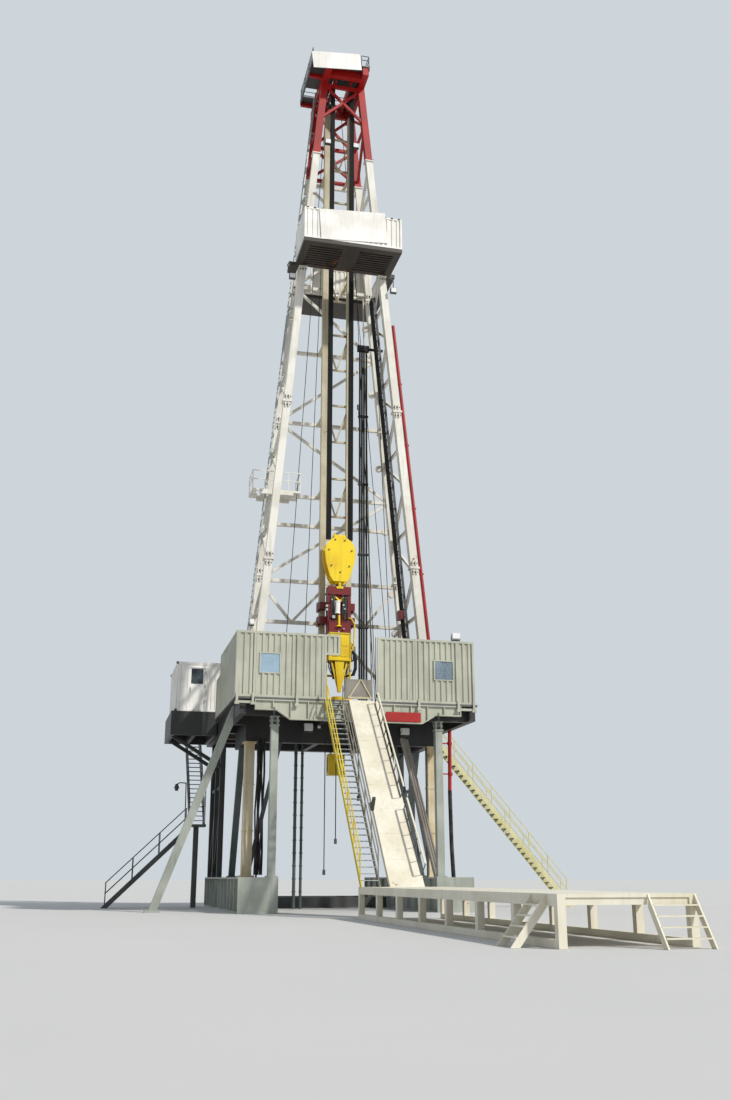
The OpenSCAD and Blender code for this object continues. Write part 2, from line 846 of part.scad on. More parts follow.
// A leg's tube between two heights
module leg_tube(side, rear, z0, z1)
  intersection() {
    bar(leg_at(side, rear, z0 - 200), leg_at(side, rear, z1 + 200), leg_s, leg_s);
    slab(z0, z1);
  }

// A leg's plate at height z, t thick, with its middle on the leg
module leg_plate(side, rear, z, t, s = flange_s)
  translate(leg_at(side, rear, z) - [s / 2, s / 2, 0]) cube([s, s, t]);

// A leg from its shoe on the deck to the joint under the top section
module leg(side, rear) {
  z0 = floor_top;
  leg_tube(side, rear, z0 + 20, top_joint);
  leg_plate(side, rear, z0, foot_t, leg_s + 170);
  for (z = [0 : 2])
    leg_plate(side, rear, joints_z[z] - 30, 60);
  leg_plate(side, rear, top_joint - 30, 30);
  foot = leg_at(side, rear, z0 + 130);
  for (y = [-leg_s / 2 - 45, leg_s / 2 + 5])
    translate([foot[0] - 100, foot[1] + y, z0]) cube([200, 40, 220]);
  translate([foot[0], foot[1] - leg_s / 2 - 75, foot[2]])
    rotate([-90, 0, 0]) cylinder(h = leg_s + 150, r = 42, $fn = 32);
}

module mast_leg_front_left() color(cream) leg(-1, false);

module mast_leg_front_right() color(cream) leg(1, false);

module mast_leg_rear_left() color(cream) leg(-1, true);

module mast_leg_rear_right() color(cream) leg(1, true);

// The rear bracing's girt heights, from the bottom up
girt_shares = [0.1607, 0.2303, 0.3277, 0.3796, 0.5131, 0.6476, 0.7774, 0.8887, 0.9932];
girts_z = [for (share = girt_shares) leg_z(share)];

// A point on the rear face at height z, at a share of the half width from the middle
function rear_at(share, z) = [share * leg_x(z), z];

// The rear face's diagonals: the knee braces, the W under the first long panel, and
// the long ones, each as share of the half width, girt, share, girt
knees = [[-1, -1, 0, 0], [1, -1, 0, 0]];
w_panel = [[-1, 1, -0.5, 0], [0, 1, -0.5, 0], [0, 1, 0.5, 0], [1, 1, 0.5, 0]];
long_ones = [[-1, 1, 1, 3], [1, 3, -1, 4], [-1, 4, 1, 5], [1, 5, -1, 6], [-1, 6, 1, 7], [1, 7, -1, 8]];
function girt_z(i) = i < 0 ? floor_top + 200 : girts_z[i];

// The rear face's bars, in the plane of the rear legs
module rear_bars()
  translate([0, mast_rear, 0]) rotate([90, 0, 0]) {
    translate([0, 0, -girt_s / 2]) linear_extrude(girt_s)
      for (z = girts_z)
        flat_bar(rear_at(-1, z), rear_at(1, z), girt_s);
    translate([0, 0, -diagonal_s / 2]) linear_extrude(diagonal_s)
      for (d = concat(knees, w_panel, long_ones))
        flat_bar(rear_at(d[0], girt_z(d[1])), rear_at(d[2], girt_z(d[3])), diagonal_s);
  }

module mast_rear_bracing() {
  color(cream) difference() {
    rear_bars();
    for (side = [-1, 1])
      leg(side, true);
  }
}

// The side bracing's levels, where its zigzag turns
side_shares = [0.017, 0.09, 0.1607, 0.2303, 0.3051, 0.3796, 0.4467, 0.5131,
               0.5796, 0.6476, 0.7125, 0.7774, 0.8331, 0.8887, 0.9413, 0.9932];
side_z = [for (share = side_shares) leg_z(share)];

module side_bars(side) {
  for (i = [0 : len(side_z) - 2])
    bar(leg_at(side, i % 2 == 0, side_z[i]), leg_at(side, i % 2 == 1, side_z[i + 1]),
        diagonal_s, diagonal_s);
  for (i = [2 : 2 : len(side_z) - 1])
    bar(leg_at(side, false, side_z[i]), leg_at(side, true, side_z[i]), diagonal_s, diagonal_s);
}

module side_bracing(side) {
  color(cream) difference() {
    side_bars(side);
    leg(side, false);
    leg(side, true);
  }
}

module mast_left_bracing() side_bracing(-1);

module mast_right_bracing() side_bracing(1);

// The mast's top section: four legs with girts and diagonals on all sides
top_levels = [top_joint + 90, top_joint + top_section_h / 2, mast_top - 60];
module mast_top_section() {
  color(red) {
    for (side = [-1, 1])
      for (rear = [false, true]) {
        leg_tube(side, rear, top_joint, mast_top);
        leg_plate(side, rear, top_joint, 30);
      }
    for (rear = [false, true])
      for (i = [0 : 2]) {
        z = top_levels[i];
        if (rear)
          bar(leg_at(-1, true, z), leg_at(1, true, z), girt_s, girt_s);
      }
    for (side = [-1, 1])
      for (i = [0 : 1]) {
        z0 = top_levels[i];
        z1 = top_levels[i + 1];
        bar(leg_at(side, false, z1), leg_at(side, true, z1), diagonal_s, diagonal_s);
        bar(leg_at(side, i == 0, z0), leg_at(side, i == 1, z1), diagonal_s, diagonal_s);
        bar(leg_at(side, true, z0), leg_at(-side, true, z1), diagonal_s, diagonal_s);
      }
    translate([0, -girt_s / 2, 0]) {
      bar(leg_at(-1, false, top_levels[2]), leg_at(1, false, top_levels[2]), girt_s, girt_s);
      for (side = [-1, 1])
        bar(leg_at(side, false, top_levels[1]), leg_at(-side, false, top_levels[2]), diagonal_s, diagonal_s);
    }
  }
}

// Crown

hoist_y = -500;
crown_h = 260;
crown_left = -1050;
crown_right = 660;
crown_front = -1250;
crown_rear = 1150;

// The crown's beams over the legs, and the sheaves on their shaft
module crown_frame() {
  color(red) translate([0, 0, mast_top]) {
    for (side = [-1, 1]) {
      box([side * 460, crown_front + 20, 0], [side * 640, crown_rear - 20, crown_h]);
      box([side * 200, -930, 60], [side * 260, 900, crown_h]);
    }
    for (y = [-1000, mast_rear - 50])
      box([-460, y, 0], [460, y + 140, crown_h]);
    box([crown_left + 20, -640, 140], [-640, -560, crown_h]);
    box([crown_left + 20, 700, 140], [-640, 780, crown_h]);
  }
}

sheave_r = 330;
sheave_n = 5;
module crown_platform() {
  z = mast_top + crown_h;
  color(white) {
    difference() {
      box([crown_left, crown_front, z], [crown_right, crown_rear, z + 30]);
      box([-270, -900, z - 1], [270, 600, z + 31]);
      box([-1000, ladder_y - 80, z - 1], [-650, ladder_y + ladder_w + 80, z + 31]);
    }
    box([-1000, crown_front - 15, mast_top - 10], [400, crown_front, mast_top + 700]);
    translate([430, crown_front + 6, z + 25]) handrail(crown_right - 460, 2);
    for (x = [crown_left + rail_t + 6, crown_right - 6])
      translate([x, crown_front + 40, z + 25]) rotate([0, 0, 90]) handrail(crown_rear - crown_front - 46, 5);
    translate([crown_left + 30, crown_rear - rail_t - 6, z + 25]) handrail(crown_right - crown_left - 60, 4);
  }
}

// The sheaves over the well on their shaft, between two bearings
module crown_sheaves() {
  z = mast_top + crown_h + 90;
  color(dark_grey) {
    for (i = [0 : sheave_n - 1])
      translate([-175 + i * 75, hoist_y, z]) rotate([0, 90, 0]) rotate_extrude($fn = 60)
        polygon([[0, 0], [sheave_r, 0], [sheave_r, 8], [sheave_r - 22, 18], [sheave_r, 28], [sheave_r, 36],
                 [sheave_r - 60, 36], [sheave_r - 70, 26], [110, 26], [100, 50], [0, 50]]);
    translate([-260, hoist_y, z]) rotate([0, 90, 0]) cylinder(h = 520, r = 50, $fn = 32);
    for (side = [-1, 1])
      box([side * 205, hoist_y - 110, mast_top + crown_h], [side * 260, hoist_y + 110, z + 90]);
  }
}

// Guides, monkey board, platforms and pipes

rail_y = -50;
tie_step = 1075;
rail_ties = [for (z = [floor_top + tie_step : tie_step : rail_top - 600]) z];

// The two guide rails with ties and V braces between them
module guide_rails() {
  color(beige) {
    for (side = [-1, 1])
      box([side * rail_x - rail_s / 2, rail_y - rail_s / 2, floor_top],
          [side * rail_x + rail_s / 2, rail_y + rail_s / 2, rail_top]);
    for (i = [0 : len(rail_ties) - 1]) {
      z = rail_ties[i];
      box([-rail_x, rail_y, z - 25], [rail_x, rail_y + 50, z + 25]);
      if (i % 2 == 0 && i + 1 < len(rail_ties))
        for (side = [-1, 1])
          bar([side * rail_x, rail_y + 25, rail_ties[i + 1]], [0, rail_y + 25, z], 40, 40);
    }
  }
}

// The brackets that hold the rails off the rear bracing's girts
module rail_brackets() {
  color(beige)
    for (i = [0 : len(girts_z) - 1])
      for (side = [-1, 1])
        box([side * rail_x - 35, rail_y + rail_s / 2, girts_z[i] - 35],
            [side * rail_x + 35, mast_rear - girt_s / 2, girts_z[i] + 35]);
}

board_t = 110;
finger_n = 9;

// The fingerboard: a frame whose slots hold racked pipe, and a walkway down its middle
module fingerboard() {
  x1 = board_w / 2;
  z0 = board_top - board_t;
  pitch = (board_front - board_back - 320) / finger_n;
  color(dark_grey) difference() {
    box([-x1, -board_front, z0], [x1, -board_back, board_top]);
    for (side = [-1, 1])
      for (i = [0 : finger_n - 1])
        box([side * 230, -board_front + 220 + i * pitch, z0 - 1],
            [side * (x1 - 190), -board_front + 220 + i * pitch + pitch * 0.55, board_top + 1]);
    for (side = [-1, 1])
      leg(side, false);
  }
}

// The rear deck, the walkway to it on the mast's right side, and a stub on its left side
walkway_in = 1260;
rear_deck_left = -1040;
rear_deck_front = mast_rear + 130;
module monkey_walkway() {
  x1 = walkway_w / 2;
  z0 = board_top - board_t;
  color(dark_grey) {
    box([walkway_in, -board_back, z0], [x1, walkway_rear, board_top]);
    box([-x1, -board_back, z0], [-walkway_in, -board_back + 450, board_top]);
    box([rear_deck_left, rear_deck_front, z0], [walkway_in, walkway_rear, board_top]);
    for (side = [-1, 1])
      box([side * (leg_x(board_top) - 90), rear_deck_front - 5, z0],
          [side * (leg_x(board_top) - 30), rear_deck_front, board_top]);
  }
}

// The monkey board's corrugated walls, with a plain panel proud of the front one
module monkey_walls() {
  x1 = board_w / 2;
  x2 = walkway_w / 2;
  color(white) {
    translate([-x1, -board_front, board_top]) framed_wall(board_w, board_wall_h);
    for (side = [-1, 1])
      translate([side * (x1 - wall_t / 2), -board_front + wall_t, board_top])
        rotate([0, 0, 90]) translate([0, -wall_t / 2, 0])
          framed_wall(board_front - board_back - wall_t, board_wall_h);
    translate([rear_deck_left, walkway_rear - wall_t, board_top])
      framed_wall(x2 - rear_deck_left, board_wall_h);
    translate([-600, rear_deck_front, board_top]) framed_wall(1240 + 600, board_wall_h);
    for (x = [rear_deck_left + wall_t / 2, x2 - wall_t / 2])
      translate([x, rear_deck_front + wall_t + 5, board_top])
        rotate([0, 0, 90]) translate([0, -wall_t / 2, 0])
          framed_wall(walkway_rear - rear_deck_front - 2 * wall_t - 10, board_wall_h);
    box([-1050, -board_front - 20, board_top - 250], [625, -board_front, board_top + board_wall_h + 10]);
  }
}

// The small platform and its handrails on the mast's left side
platform_z = girts_z[3] - 115;
module side_platform() {
  x0 = -2250;
  x1 = -950;
  y0 = 0;
  y1 = mast_rear - 55;
  color(cream) difference() {
    union() {
      box([x0, y0, platform_z - 50], [x1, y1, platform_z]);
      for (y = [y0, y1 - 60])
        box([x0 + 200, y, platform_z - 130], [x1 - 200, y + 60, platform_z - 50]);
      translate([x0, y0, platform_z]) handrail(x1 - x0, 5);
      for (x = [x0 + rail_t, x1])
        translate([x, y0, platform_z]) rotate([0, 0, 90]) handrail(y1 - y0, 3);
    }
    side_bars(-1);
    leg(-1, true);
    box([-leg_x(platform_z) - ladder_out - 260, ladder_y - 60, platform_z - 200],
        [-leg_x(platform_z) - diagonal_s / 2 - 5, ladder_y + ladder_w + 70, platform_z + 1]);
  }
}

// The ladder up the mast's left side to the crown, stood off the side bracing's girts
ladder_out = 150;
ladder_w = 250;
ladder_y = 120;
rung_step = 150;
module mast_ladder() {
  z0 = floor_top;
  z1 = mast_top + crown_h - 60;
  function rail_at(y, z) = [-leg_x(z) - ladder_out, y, z];
  color(dark_grey) {
    for (y = [ladder_y, ladder_y + ladder_w])
      intersection() {
        bar(rail_at(y, z0 - 50), rail_at(y, z1 + 50), 40, 28);
        slab(z0, z1);
      }
    for (z = [z0 + rung_step : rung_step : z1 - 60])
      translate(rail_at(ladder_y, z)) translate([-9, 0, -9]) cube([18, ladder_w, 18]);
    for (z = concat([for (i = [2 : 2 : len(side_z) - 1]) side_z[i]], [top_levels[1], top_levels[2]]))
      for (y = [ladder_y, ladder_y + ladder_w - 20])
        box(rail_at(y, z) - [10, 0, 20], [-leg_x(z) - diagonal_s / 2, y + 20, z + 20]);
  }
}

// Hoses that hang straight from a saddle on the mast's right side to the deck
hose_r = 26;
hose_xs = [690, 750, 810, 880];
saddle_z = girts_z[5] + 30;
module hose_bundle() {
  color(black) {
    for (x = hose_xs)
      translate([x, 60, floor_top]) cylinder(h = saddle_z - floor_top, r = hose_r, $fn = 20);
    for (z = [floor_top + 2375 : 2000 : saddle_z - 1000])
      box([hose_xs[0] - 45, 20, z], [hose_xs[3] + 45, 100, z + 50]);
    box([hose_xs[0] - 70, 10, saddle_z - 120], [hose_xs[3] + 70, 110, saddle_z + 60]);
    difference() {
      box([hose_xs[3] + 70, 30, saddle_z - 60], [leg_x(saddle_z) + 60, 90, saddle_z]);
      side_bars(1);
    }
  }
}

// The red standpipe clamped along the right front leg
module standpipe() {
  off = [leg_s / 2 + 90, 0, 0];
  z0 = floor_top + foot_t + 10;
  z1 = girts_z[5] + 400;
  color(red) {
    rod(leg_at(1, false, z0) + off, leg_at(1, false, z1) + off, 45);
    for (z = [z0 + 1805 : 1800 : z1 - 400])
      difference() {
        p = leg_at(1, false, z);
        box(p + [0, -30, 0], p + [leg_s / 2 + 150, 30, 40]);
        leg(1, false);
      }
  }
}

// Hoist, which slides up and down along the rails

rest_gap = 5;

// The drilling lines from the block to the crown, two bundles of thin ropes
line_r = 9;
module drilling_lines() {
  z0 = block_bottom + block_h;
  color(black)
    for (side = [-1, 1])
      for (i = [0 : 3])
        translate([side * (240 + i * 34), hoist_y, z0 - 60])
          cylinder(h = mast_top - z0 + 60, r = line_r, $fn = 13);
}

// The block's outline: round above, widest in its upper third, tapered to a blunt tip
function block_outline(w, h) = concat(
  [for (a = [0 : 10 : 180]) [w / 2 * cos(a), h * 0.66 + h * 0.34 * sin(a)]],
  [[-w * 0.46, h * 0.42], [-w * 0.33, h * 0.12], [-w * 0.22, 0], [w * 0.22, 0], [w * 0.33, h * 0.12],
   [w * 0.46, h * 0.42]]);

module travelling_block() {
  t = block_t;
  translate([0, hoist_y, block_bottom]) {
    color(yellow) for (y = [t / 2, -t / 2 + 60])
      translate([0, y, 0]) rotate([90, 0, 0]) linear_extrude(60) polygon(block_outline(block_w, block_h));
    color(yellow) box([-180, -t / 2 + 60, 60], [180, t / 2 - 60, 480]);
    color(black) translate([0, t / 2 - 75, block_h * 0.62]) rotate([90, 0, 0])
      cylinder(h = t - 150, r = 330, $fn = 48);
    color(black) translate([0, t / 2, block_h * 0.62]) rotate([90, 0, 0])
      cylinder(h = t, r = 70, $fn = 32);
    color(black) box([-90, -60, -45], [90, 60, 60]);
  }
}

// The top drive: a frame round the motor, the gearbox, and the shoes that run on the rails
drive_top = block_bottom - 45;
drive_bottom = drive_top - 1300;
drive_w = 600;
column_w = 85;
module top_drive() {
  shoe_y = rail_y - rail_s / 2 - rest_gap;
  shoe_x = rail_x + rail_s / 2 + rest_gap;
  x1 = drive_w / 2;
  color(dark_red) {
    for (side = [-1, 1])
      box([side * (x1 - column_w), hoist_y - 110, drive_bottom], [side * x1, hoist_y + 160, drive_top - 75]);
    box([-x1, hoist_y - 140, drive_top - 290], [x1, hoist_y + 120, drive_top - 80]);
    box([-x1 + 20, hoist_y - 150, drive_bottom], [x1 - 20, hoist_y + 150, drive_bottom + 330]);
    translate([0, hoist_y, drive_bottom + 300]) cylinder(h = 190, r = 150, $fn = 40);
    translate([0, hoist_y, drive_bottom + 450]) cylinder(h = 600, r = 88, $fn = 40);
    translate([0, hoist_y, drive_top - 100]) cylinder(h = 100, r = 75, $fn = 32);
    for (z = [drive_bottom + 300, drive_top - 620])
      box([-shoe_x - 40, hoist_y + 150, z], [shoe_x + 40, shoe_y, z + 180]);
    for (side = [-1, 1])
      for (z = [drive_bottom + 270, drive_top - 650]) {
        x = side * shoe_x;
        box([x, shoe_y - 45, z], [x + side * 50, rail_y + rail_s / 2, z + 240]);
      }
  }
}

// The pipe handler under the top drive: its box, a tapered guide plate and the shaft's end
handler_w = 570;
handler_h = 720;
handler_d = 380;
handler_bottom = drive_bottom - handler_h;
guide_l = 790;
module pipe_handler() {
  z0 = handler_bottom;
  front = hoist_y - handler_d / 2;
  color(yellow) {
    box([-handler_w / 2, front, z0], [handler_w / 2, hoist_y + handler_d / 2, drive_bottom]);
    box([-handler_w / 2, front - 20, z0], [handler_w / 2, front + 20, z0 + 40]);
    translate([0, front + 110, z0]) rotate([90, 0, 0]) linear_extrude(100)
      polygon([[-125, 10], [-38, -guide_l], [38, -guide_l], [125, 10]]);
    for (side = [-1, 1])
      bar([side * 210, front + 60, z0 + 20], [side * 40, front + 60, z0 - guide_l * 0.85], 40, 40);
    translate([0, hoist_y + 40, z0 - 300]) cylinder(h = 310, r = 62, $fn = 32);
  }
}

// The links that hang beside the handler, and the elevator between their lower ends
link_pin_z = handler_bottom + 420;
link_top_x = handler_w / 2 + 40;
link_low_x = handler_w / 2 + 5;
elevator_z = link_pin_z - 1410;
elevator_h = 180;
module elevator_links() {
  color(yellow) {
    for (side = [-1, 1]) {
      x = side * link_top_x;
      translate([x - 22, hoist_y, link_pin_z]) rotate([0, 90, 0]) cylinder(h = 44, r = 70, $fn = 32);
      rod([x, hoist_y, link_pin_z], [side * link_low_x, hoist_y, elevator_z + 10], 24);
      translate([side * 235 - 100, hoist_y, elevator_z]) rotate([0, 90, 0])
        cylinder(h = 200, r = 55, $fn = 32);
    }
    difference() {
      translate([0, hoist_y, elevator_z - elevator_h / 2]) cylinder(h = elevator_h, r = 165, $fn = 48);
      translate([0, hoist_y, elevator_z - elevator_h / 2 - 1])
        cylinder(h = elevator_h + 2, r = 75, $fn = 48);
    }
  }
}

rig_frame() base_boxes();
rig_frame() base_spreaders();
rig_frame() front_legs();
rig_frame() main_columns();
rig_frame() raking_legs();
rig_frame() inner_braces();
rig_frame() rear_posts();
rig_frame() cellar_trolley();
rig_frame() wind_strut();
rig_frame() floor_frame();
rig_frame() front_girder();
rig_frame() floor_deck();
rig_frame() rotary_table();
rig_frame() windwall_front_left();
rig_frame() windwall_front_right();
rig_frame() windwall_sides();
rig_frame() window_panes();
rig_frame() v_door_gate();
rig_frame() floor_handrails();
rig_frame() doghouse_platform();
rig_frame() doghouse_walls();
rig_frame() doghouse_front();
rig_frame() doghouse_roof();
rig_frame() left_stair_sides();
rig_frame() left_stair_treads();
rig_frame() left_stair_landings();
rig_frame() right_stair_sides();
rig_frame() right_stair_treads();
rig_frame() ramp_stair_sides();
rig_frame() ramp_stair_treads();
rig_frame() pipe_ramp();
rig_frame() pipe_ramp_rail();
rig_frame() catwalk_deck();
rig_frame() catwalk_sides();
rig_frame() catwalk_stairs();
rig_frame() mast_leg_front_left();
rig_frame() mast_leg_front_right();
rig_frame() mast_leg_rear_left();
rig_frame() mast_leg_rear_right();
rig_frame() mast_rear_bracing();
rig_frame() mast_left_bracing();
rig_frame() mast_right_bracing();
rig_frame() mast_top_section();
rig_frame() crown_frame();
rig_frame() crown_platform();
rig_frame() crown_sheaves();
rig_frame() guide_rails();
rig_frame() rail_brackets();
rig_frame() fingerboard();
rig_frame() monkey_walkway();
rig_frame() monkey_walls();
rig_frame() side_platform();
rig_frame() mast_ladder();
rig_frame() standpipe();
rig_frame() hose_bundle();
rig_frame() drilling_lines();
rig_frame() travelling_block();
rig_frame() top_drive();
rig_frame() pipe_handler();
rig_frame() elevator_links();
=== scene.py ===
import bpy
import bmesh
from itertools import product
from math import pi, radians, tau
from mathutils import Matrix, Vector


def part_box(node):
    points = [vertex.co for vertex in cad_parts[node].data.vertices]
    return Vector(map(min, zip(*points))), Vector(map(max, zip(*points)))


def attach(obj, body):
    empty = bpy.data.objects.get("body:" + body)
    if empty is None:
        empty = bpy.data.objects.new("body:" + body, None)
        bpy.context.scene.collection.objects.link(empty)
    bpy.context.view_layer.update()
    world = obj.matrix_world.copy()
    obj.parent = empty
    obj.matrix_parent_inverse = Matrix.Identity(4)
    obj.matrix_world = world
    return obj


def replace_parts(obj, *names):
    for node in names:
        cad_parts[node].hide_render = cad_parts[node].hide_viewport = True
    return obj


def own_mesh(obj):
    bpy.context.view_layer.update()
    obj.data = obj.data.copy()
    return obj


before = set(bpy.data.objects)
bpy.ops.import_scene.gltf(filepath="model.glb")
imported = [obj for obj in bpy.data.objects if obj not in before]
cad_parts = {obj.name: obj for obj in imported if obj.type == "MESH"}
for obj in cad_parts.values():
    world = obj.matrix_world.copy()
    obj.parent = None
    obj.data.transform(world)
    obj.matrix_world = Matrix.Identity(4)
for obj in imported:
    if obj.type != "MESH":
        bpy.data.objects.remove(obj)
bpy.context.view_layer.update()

# The rig is a 1:2 scale model, so a millimetre of the real rig is half a millimetre here
MODEL_PER_REAL = 0.5

# The datum of the rig: its centre line, under the guide rails
table_low, table_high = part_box("rotary_table")
WELL_Y = -0.5
DATUM = Vector(((table_low.x + table_high.x) / 2, (table_low.y + table_high.y) / 2 - WELL_Y, 0))


def at(x, y, z):
    """A point of the rig, given from its datum in metres of the model."""
    return DATUM + Vector((x, y, z))


# Camera, at the photograph's place and angle

PHOTO_HEIGHT = 1100
PHOTO_FOCAL = 1100.6
PHOTO_PLACE = (-5.954, -27.405, 0.75)
PITCH, TURN = 0.289, -0.243

camera_data = bpy.data.cameras.new("view")
camera_data.sensor_width = 36
camera_data.lens = 36 * PHOTO_FOCAL / PHOTO_HEIGHT
camera_data.clip_end = 1200
camera = bpy.data.objects.new("view", camera_data)
camera.location = at(*PHOTO_PLACE)
camera.rotation_euler = (pi / 2 + PITCH, 0, TURN)
bpy.context.scene.collection.objects.link(camera)
bpy.context.scene.camera = camera


# Materials


def linear(hex_colour):
    """An sRGB hex colour as linear RGBA."""
    channels = [int(hex_colour[i : i + 2], 16) / 255 for i in (1, 3, 5)]
    return [c / 12.92 if c <= 0.04045 else ((c + 0.055) / 1.055) ** 2.4 for c in channels] + [1]


def per_metre(real_mm):
    """The texture scale at which a pattern repeats every real_mm of the real rig."""
    return 1000 / (real_mm * MODEL_PER_REAL)


def new_finish(name):
    """A material, its node tree and its shader."""
    material = bpy.data.materials.new(name)
    material.use_nodes = True
    return material, material.node_tree, material.node_tree.nodes["Principled BSDF"]


def add_node(tree, kind, values=None, links=None, **settings):
    """A node with its settings, the values of its sockets and the sockets that feed it."""
    node = tree.nodes.new(kind)
    for name, setting in settings.items():
        setattr(node, name, setting)
    for socket, value in (values or {}).items():
        node.inputs[socket].default_value = value
    for socket, source in (links or {}).items():
        tree.links.new(source, node.inputs[socket])
    return node


def enamel_on_steel(name, paint, faded, dirt, rust=0.5, streaks=0.5, roughness=0.5, beyond=None):
    """Alkyd enamel sprayed on structural steel: satin, chalked in patches, with dirt that rain has
    drawn down in streaks and rust where the paint has chipped. rust and streaks go from 0 to 1.
    beyond gives a second paint and the distance right of the datum where it takes over."""
    material, tree, shader = new_finish(name)
    place = add_node(tree, "ShaderNodeTexCoord").outputs["Object"]

    patches = add_node(tree, "ShaderNodeTexNoise", {"Scale": per_metre(1600), "Detail": 6}, {"Vector": place})
    chalked = add_node(tree, "ShaderNodeMapRange", {"From Min": 0.42, "From Max": 0.62},
                       {"Value": patches.outputs["Fac"]}, interpolation_type="SMOOTHSTEP")
    coat = add_node(tree, "ShaderNodeMix", {6: linear(paint), 7: linear(faded)},
                    {0: chalked.outputs[0]}, data_type="RGBA")
    if beyond:
        parts = add_node(tree, "ShaderNodeSeparateXYZ", links={"Vector": place})
        side = add_node(tree, "ShaderNodeMath", {1: DATUM.x + beyond[1]}, {0: parts.outputs["X"]},
                        operation="GREATER_THAN")
        coat = add_node(tree, "ShaderNodeMix", {7: linear(beyond[0])},
                        {0: side.outputs[0], 6: coat.outputs[2]}, data_type="RGBA")

    # Streaks stand about 150 mm apart and are a dozen times as long
    upright = add_node(tree, "ShaderNodeMapping", {"Scale": (1, 1, 0.08)}, {"Vector": place})
    runs = add_node(tree, "ShaderNodeTexNoise", {"Scale": per_metre(150), "Detail": 5},
                    {"Vector": upright.outputs[0]})
    washed = add_node(tree, "ShaderNodeMapRange", {"From Min": 0.5, "From Max": 0.8, "To Max": 0.8 * streaks},
                      {"Value": runs.outputs["Fac"]})
    dirty = add_node(tree, "ShaderNodeMix", {7: linear(dirt)},
                     {0: washed.outputs[0], 6: coat.outputs[2]}, data_type="RGBA")

    # Chips are 20 to 200 mm across, and there are more of them in some places than in others
    chips = add_node(tree, "ShaderNodeTexNoise", {"Scale": per_metre(260), "Detail": 10, "Roughness": 0.68},
                     {"Vector": place})
    spread = add_node(tree, "ShaderNodeMath", {}, {0: chips.outputs["Fac"], 1: patches.outputs["Fac"]},
                      operation="ADD")
    edge = 1.34 - 0.16 * rust
    rusted = add_node(tree, "ShaderNodeMapRange", {"From Min": edge, "From Max": edge + 0.05},
                      {"Value": spread.outputs[0]}, interpolation_type="SMOOTHSTEP")
    grains = add_node(tree, "ShaderNodeTexNoise", {"Scale": per_metre(50), "Detail": 4}, {"Vector": place})
    rust_tone = add_node(tree, "ShaderNodeMix", {6: linear("#4A2A18"), 7: linear("#9A5B32")},
                         {0: grains.outputs["Fac"]}, data_type="RGBA")
    colour = add_node(tree, "ShaderNodeMix", {},
                      {0: rusted.outputs[0], 6: dirty.outputs[2], 7: rust_tone.outputs[2]}, data_type="RGBA")
    tree.links.new(colour.outputs[2], shader.inputs["Base Color"])

    dull = add_node(tree, "ShaderNodeMapRange", {"To Min": roughness, "To Max": 0.88},
                    {"Value": rusted.outputs[0]})
    tree.links.new(dull.outputs[0], shader.inputs["Roughness"])
    relief = add_node(tree, "ShaderNodeMath", {1: 0.6}, {0: grains.outputs["Fac"], 2: rusted.outputs[0]},
                      operation="MULTIPLY_ADD")
    bump = add_node(tree, "ShaderNodeBump", {"Strength": 0.35, "Distance": 0.002},
                    {"Height": relief.outputs[0]})
    tree.links.new(bump.outputs[0], shader.inputs["Normal"])
    return material


def galvanised_grating(name):
    """Hot-dip galvanised bar grating: grey zinc bars with near-black gaps between them, painted shade for the
    dark seen through the gaps. The real gaps of 30 mm are too fine to show, so they are drawn 90 mm apart."""
    material, tree, shader = new_finish(name)
    shader.inputs["Metallic"].default_value = 0.45
    shader.inputs["Roughness"].default_value = 0.6
    place = add_node(tree, "ShaderNodeTexCoord").outputs["Object"]
    parts = add_node(tree, "ShaderNodeSeparateXYZ", links={"Vector": place})
    turns = tau * per_metre(90)
    across = add_node(tree, "ShaderNodeMath", {1: turns}, {0: parts.outputs["X"]}, operation="MULTIPLY")
    along = add_node(tree, "ShaderNodeMath", {1: turns}, {0: parts.outputs["Y"]}, operation="MULTIPLY")
    bars_x = add_node(tree, "ShaderNodeMath", {}, {0: across.outputs[0]}, operation="SINE")
    bars_y = add_node(tree, "ShaderNodeMath", {}, {0: along.outputs[0]}, operation="SINE")
    bars = add_node(tree, "ShaderNodeMath", {}, {0: bars_x.outputs[0], 1: bars_y.outputs[0]},
                    operation="MAXIMUM")
    zinc = add_node(tree, "ShaderNodeMapRange", {"From Min": 0.0, "From Max": 0.45},
                    {"Value": bars.outputs[0]})
    mud = add_node(tree, "ShaderNodeTexNoise", {"Scale": per_metre(800), "Detail": 6}, {"Vector": place})
    tone = add_node(tree, "ShaderNodeMix", {6: linear("#7C7E7E"), 7: linear("#45423D")},
                    {0: mud.outputs["Fac"]}, data_type="RGBA")
    # The gaps are painted near black: painted shade for the dark space seen through the openings
    colour = add_node(tree, "ShaderNodeMix", {6: linear("#141414")},
                      {0: zinc.outputs[0], 7: tone.outputs[2]}, data_type="RGBA")
    tree.links.new(colour.outputs[2], shader.inputs["Base Color"])
    bump = add_node(tree, "ShaderNodeBump", {"Strength": 0.5, "Distance": 0.004}, {"Height": zinc.outputs[0]})
    tree.links.new(bump.outputs[0], shader.inputs["Normal"])
    return material


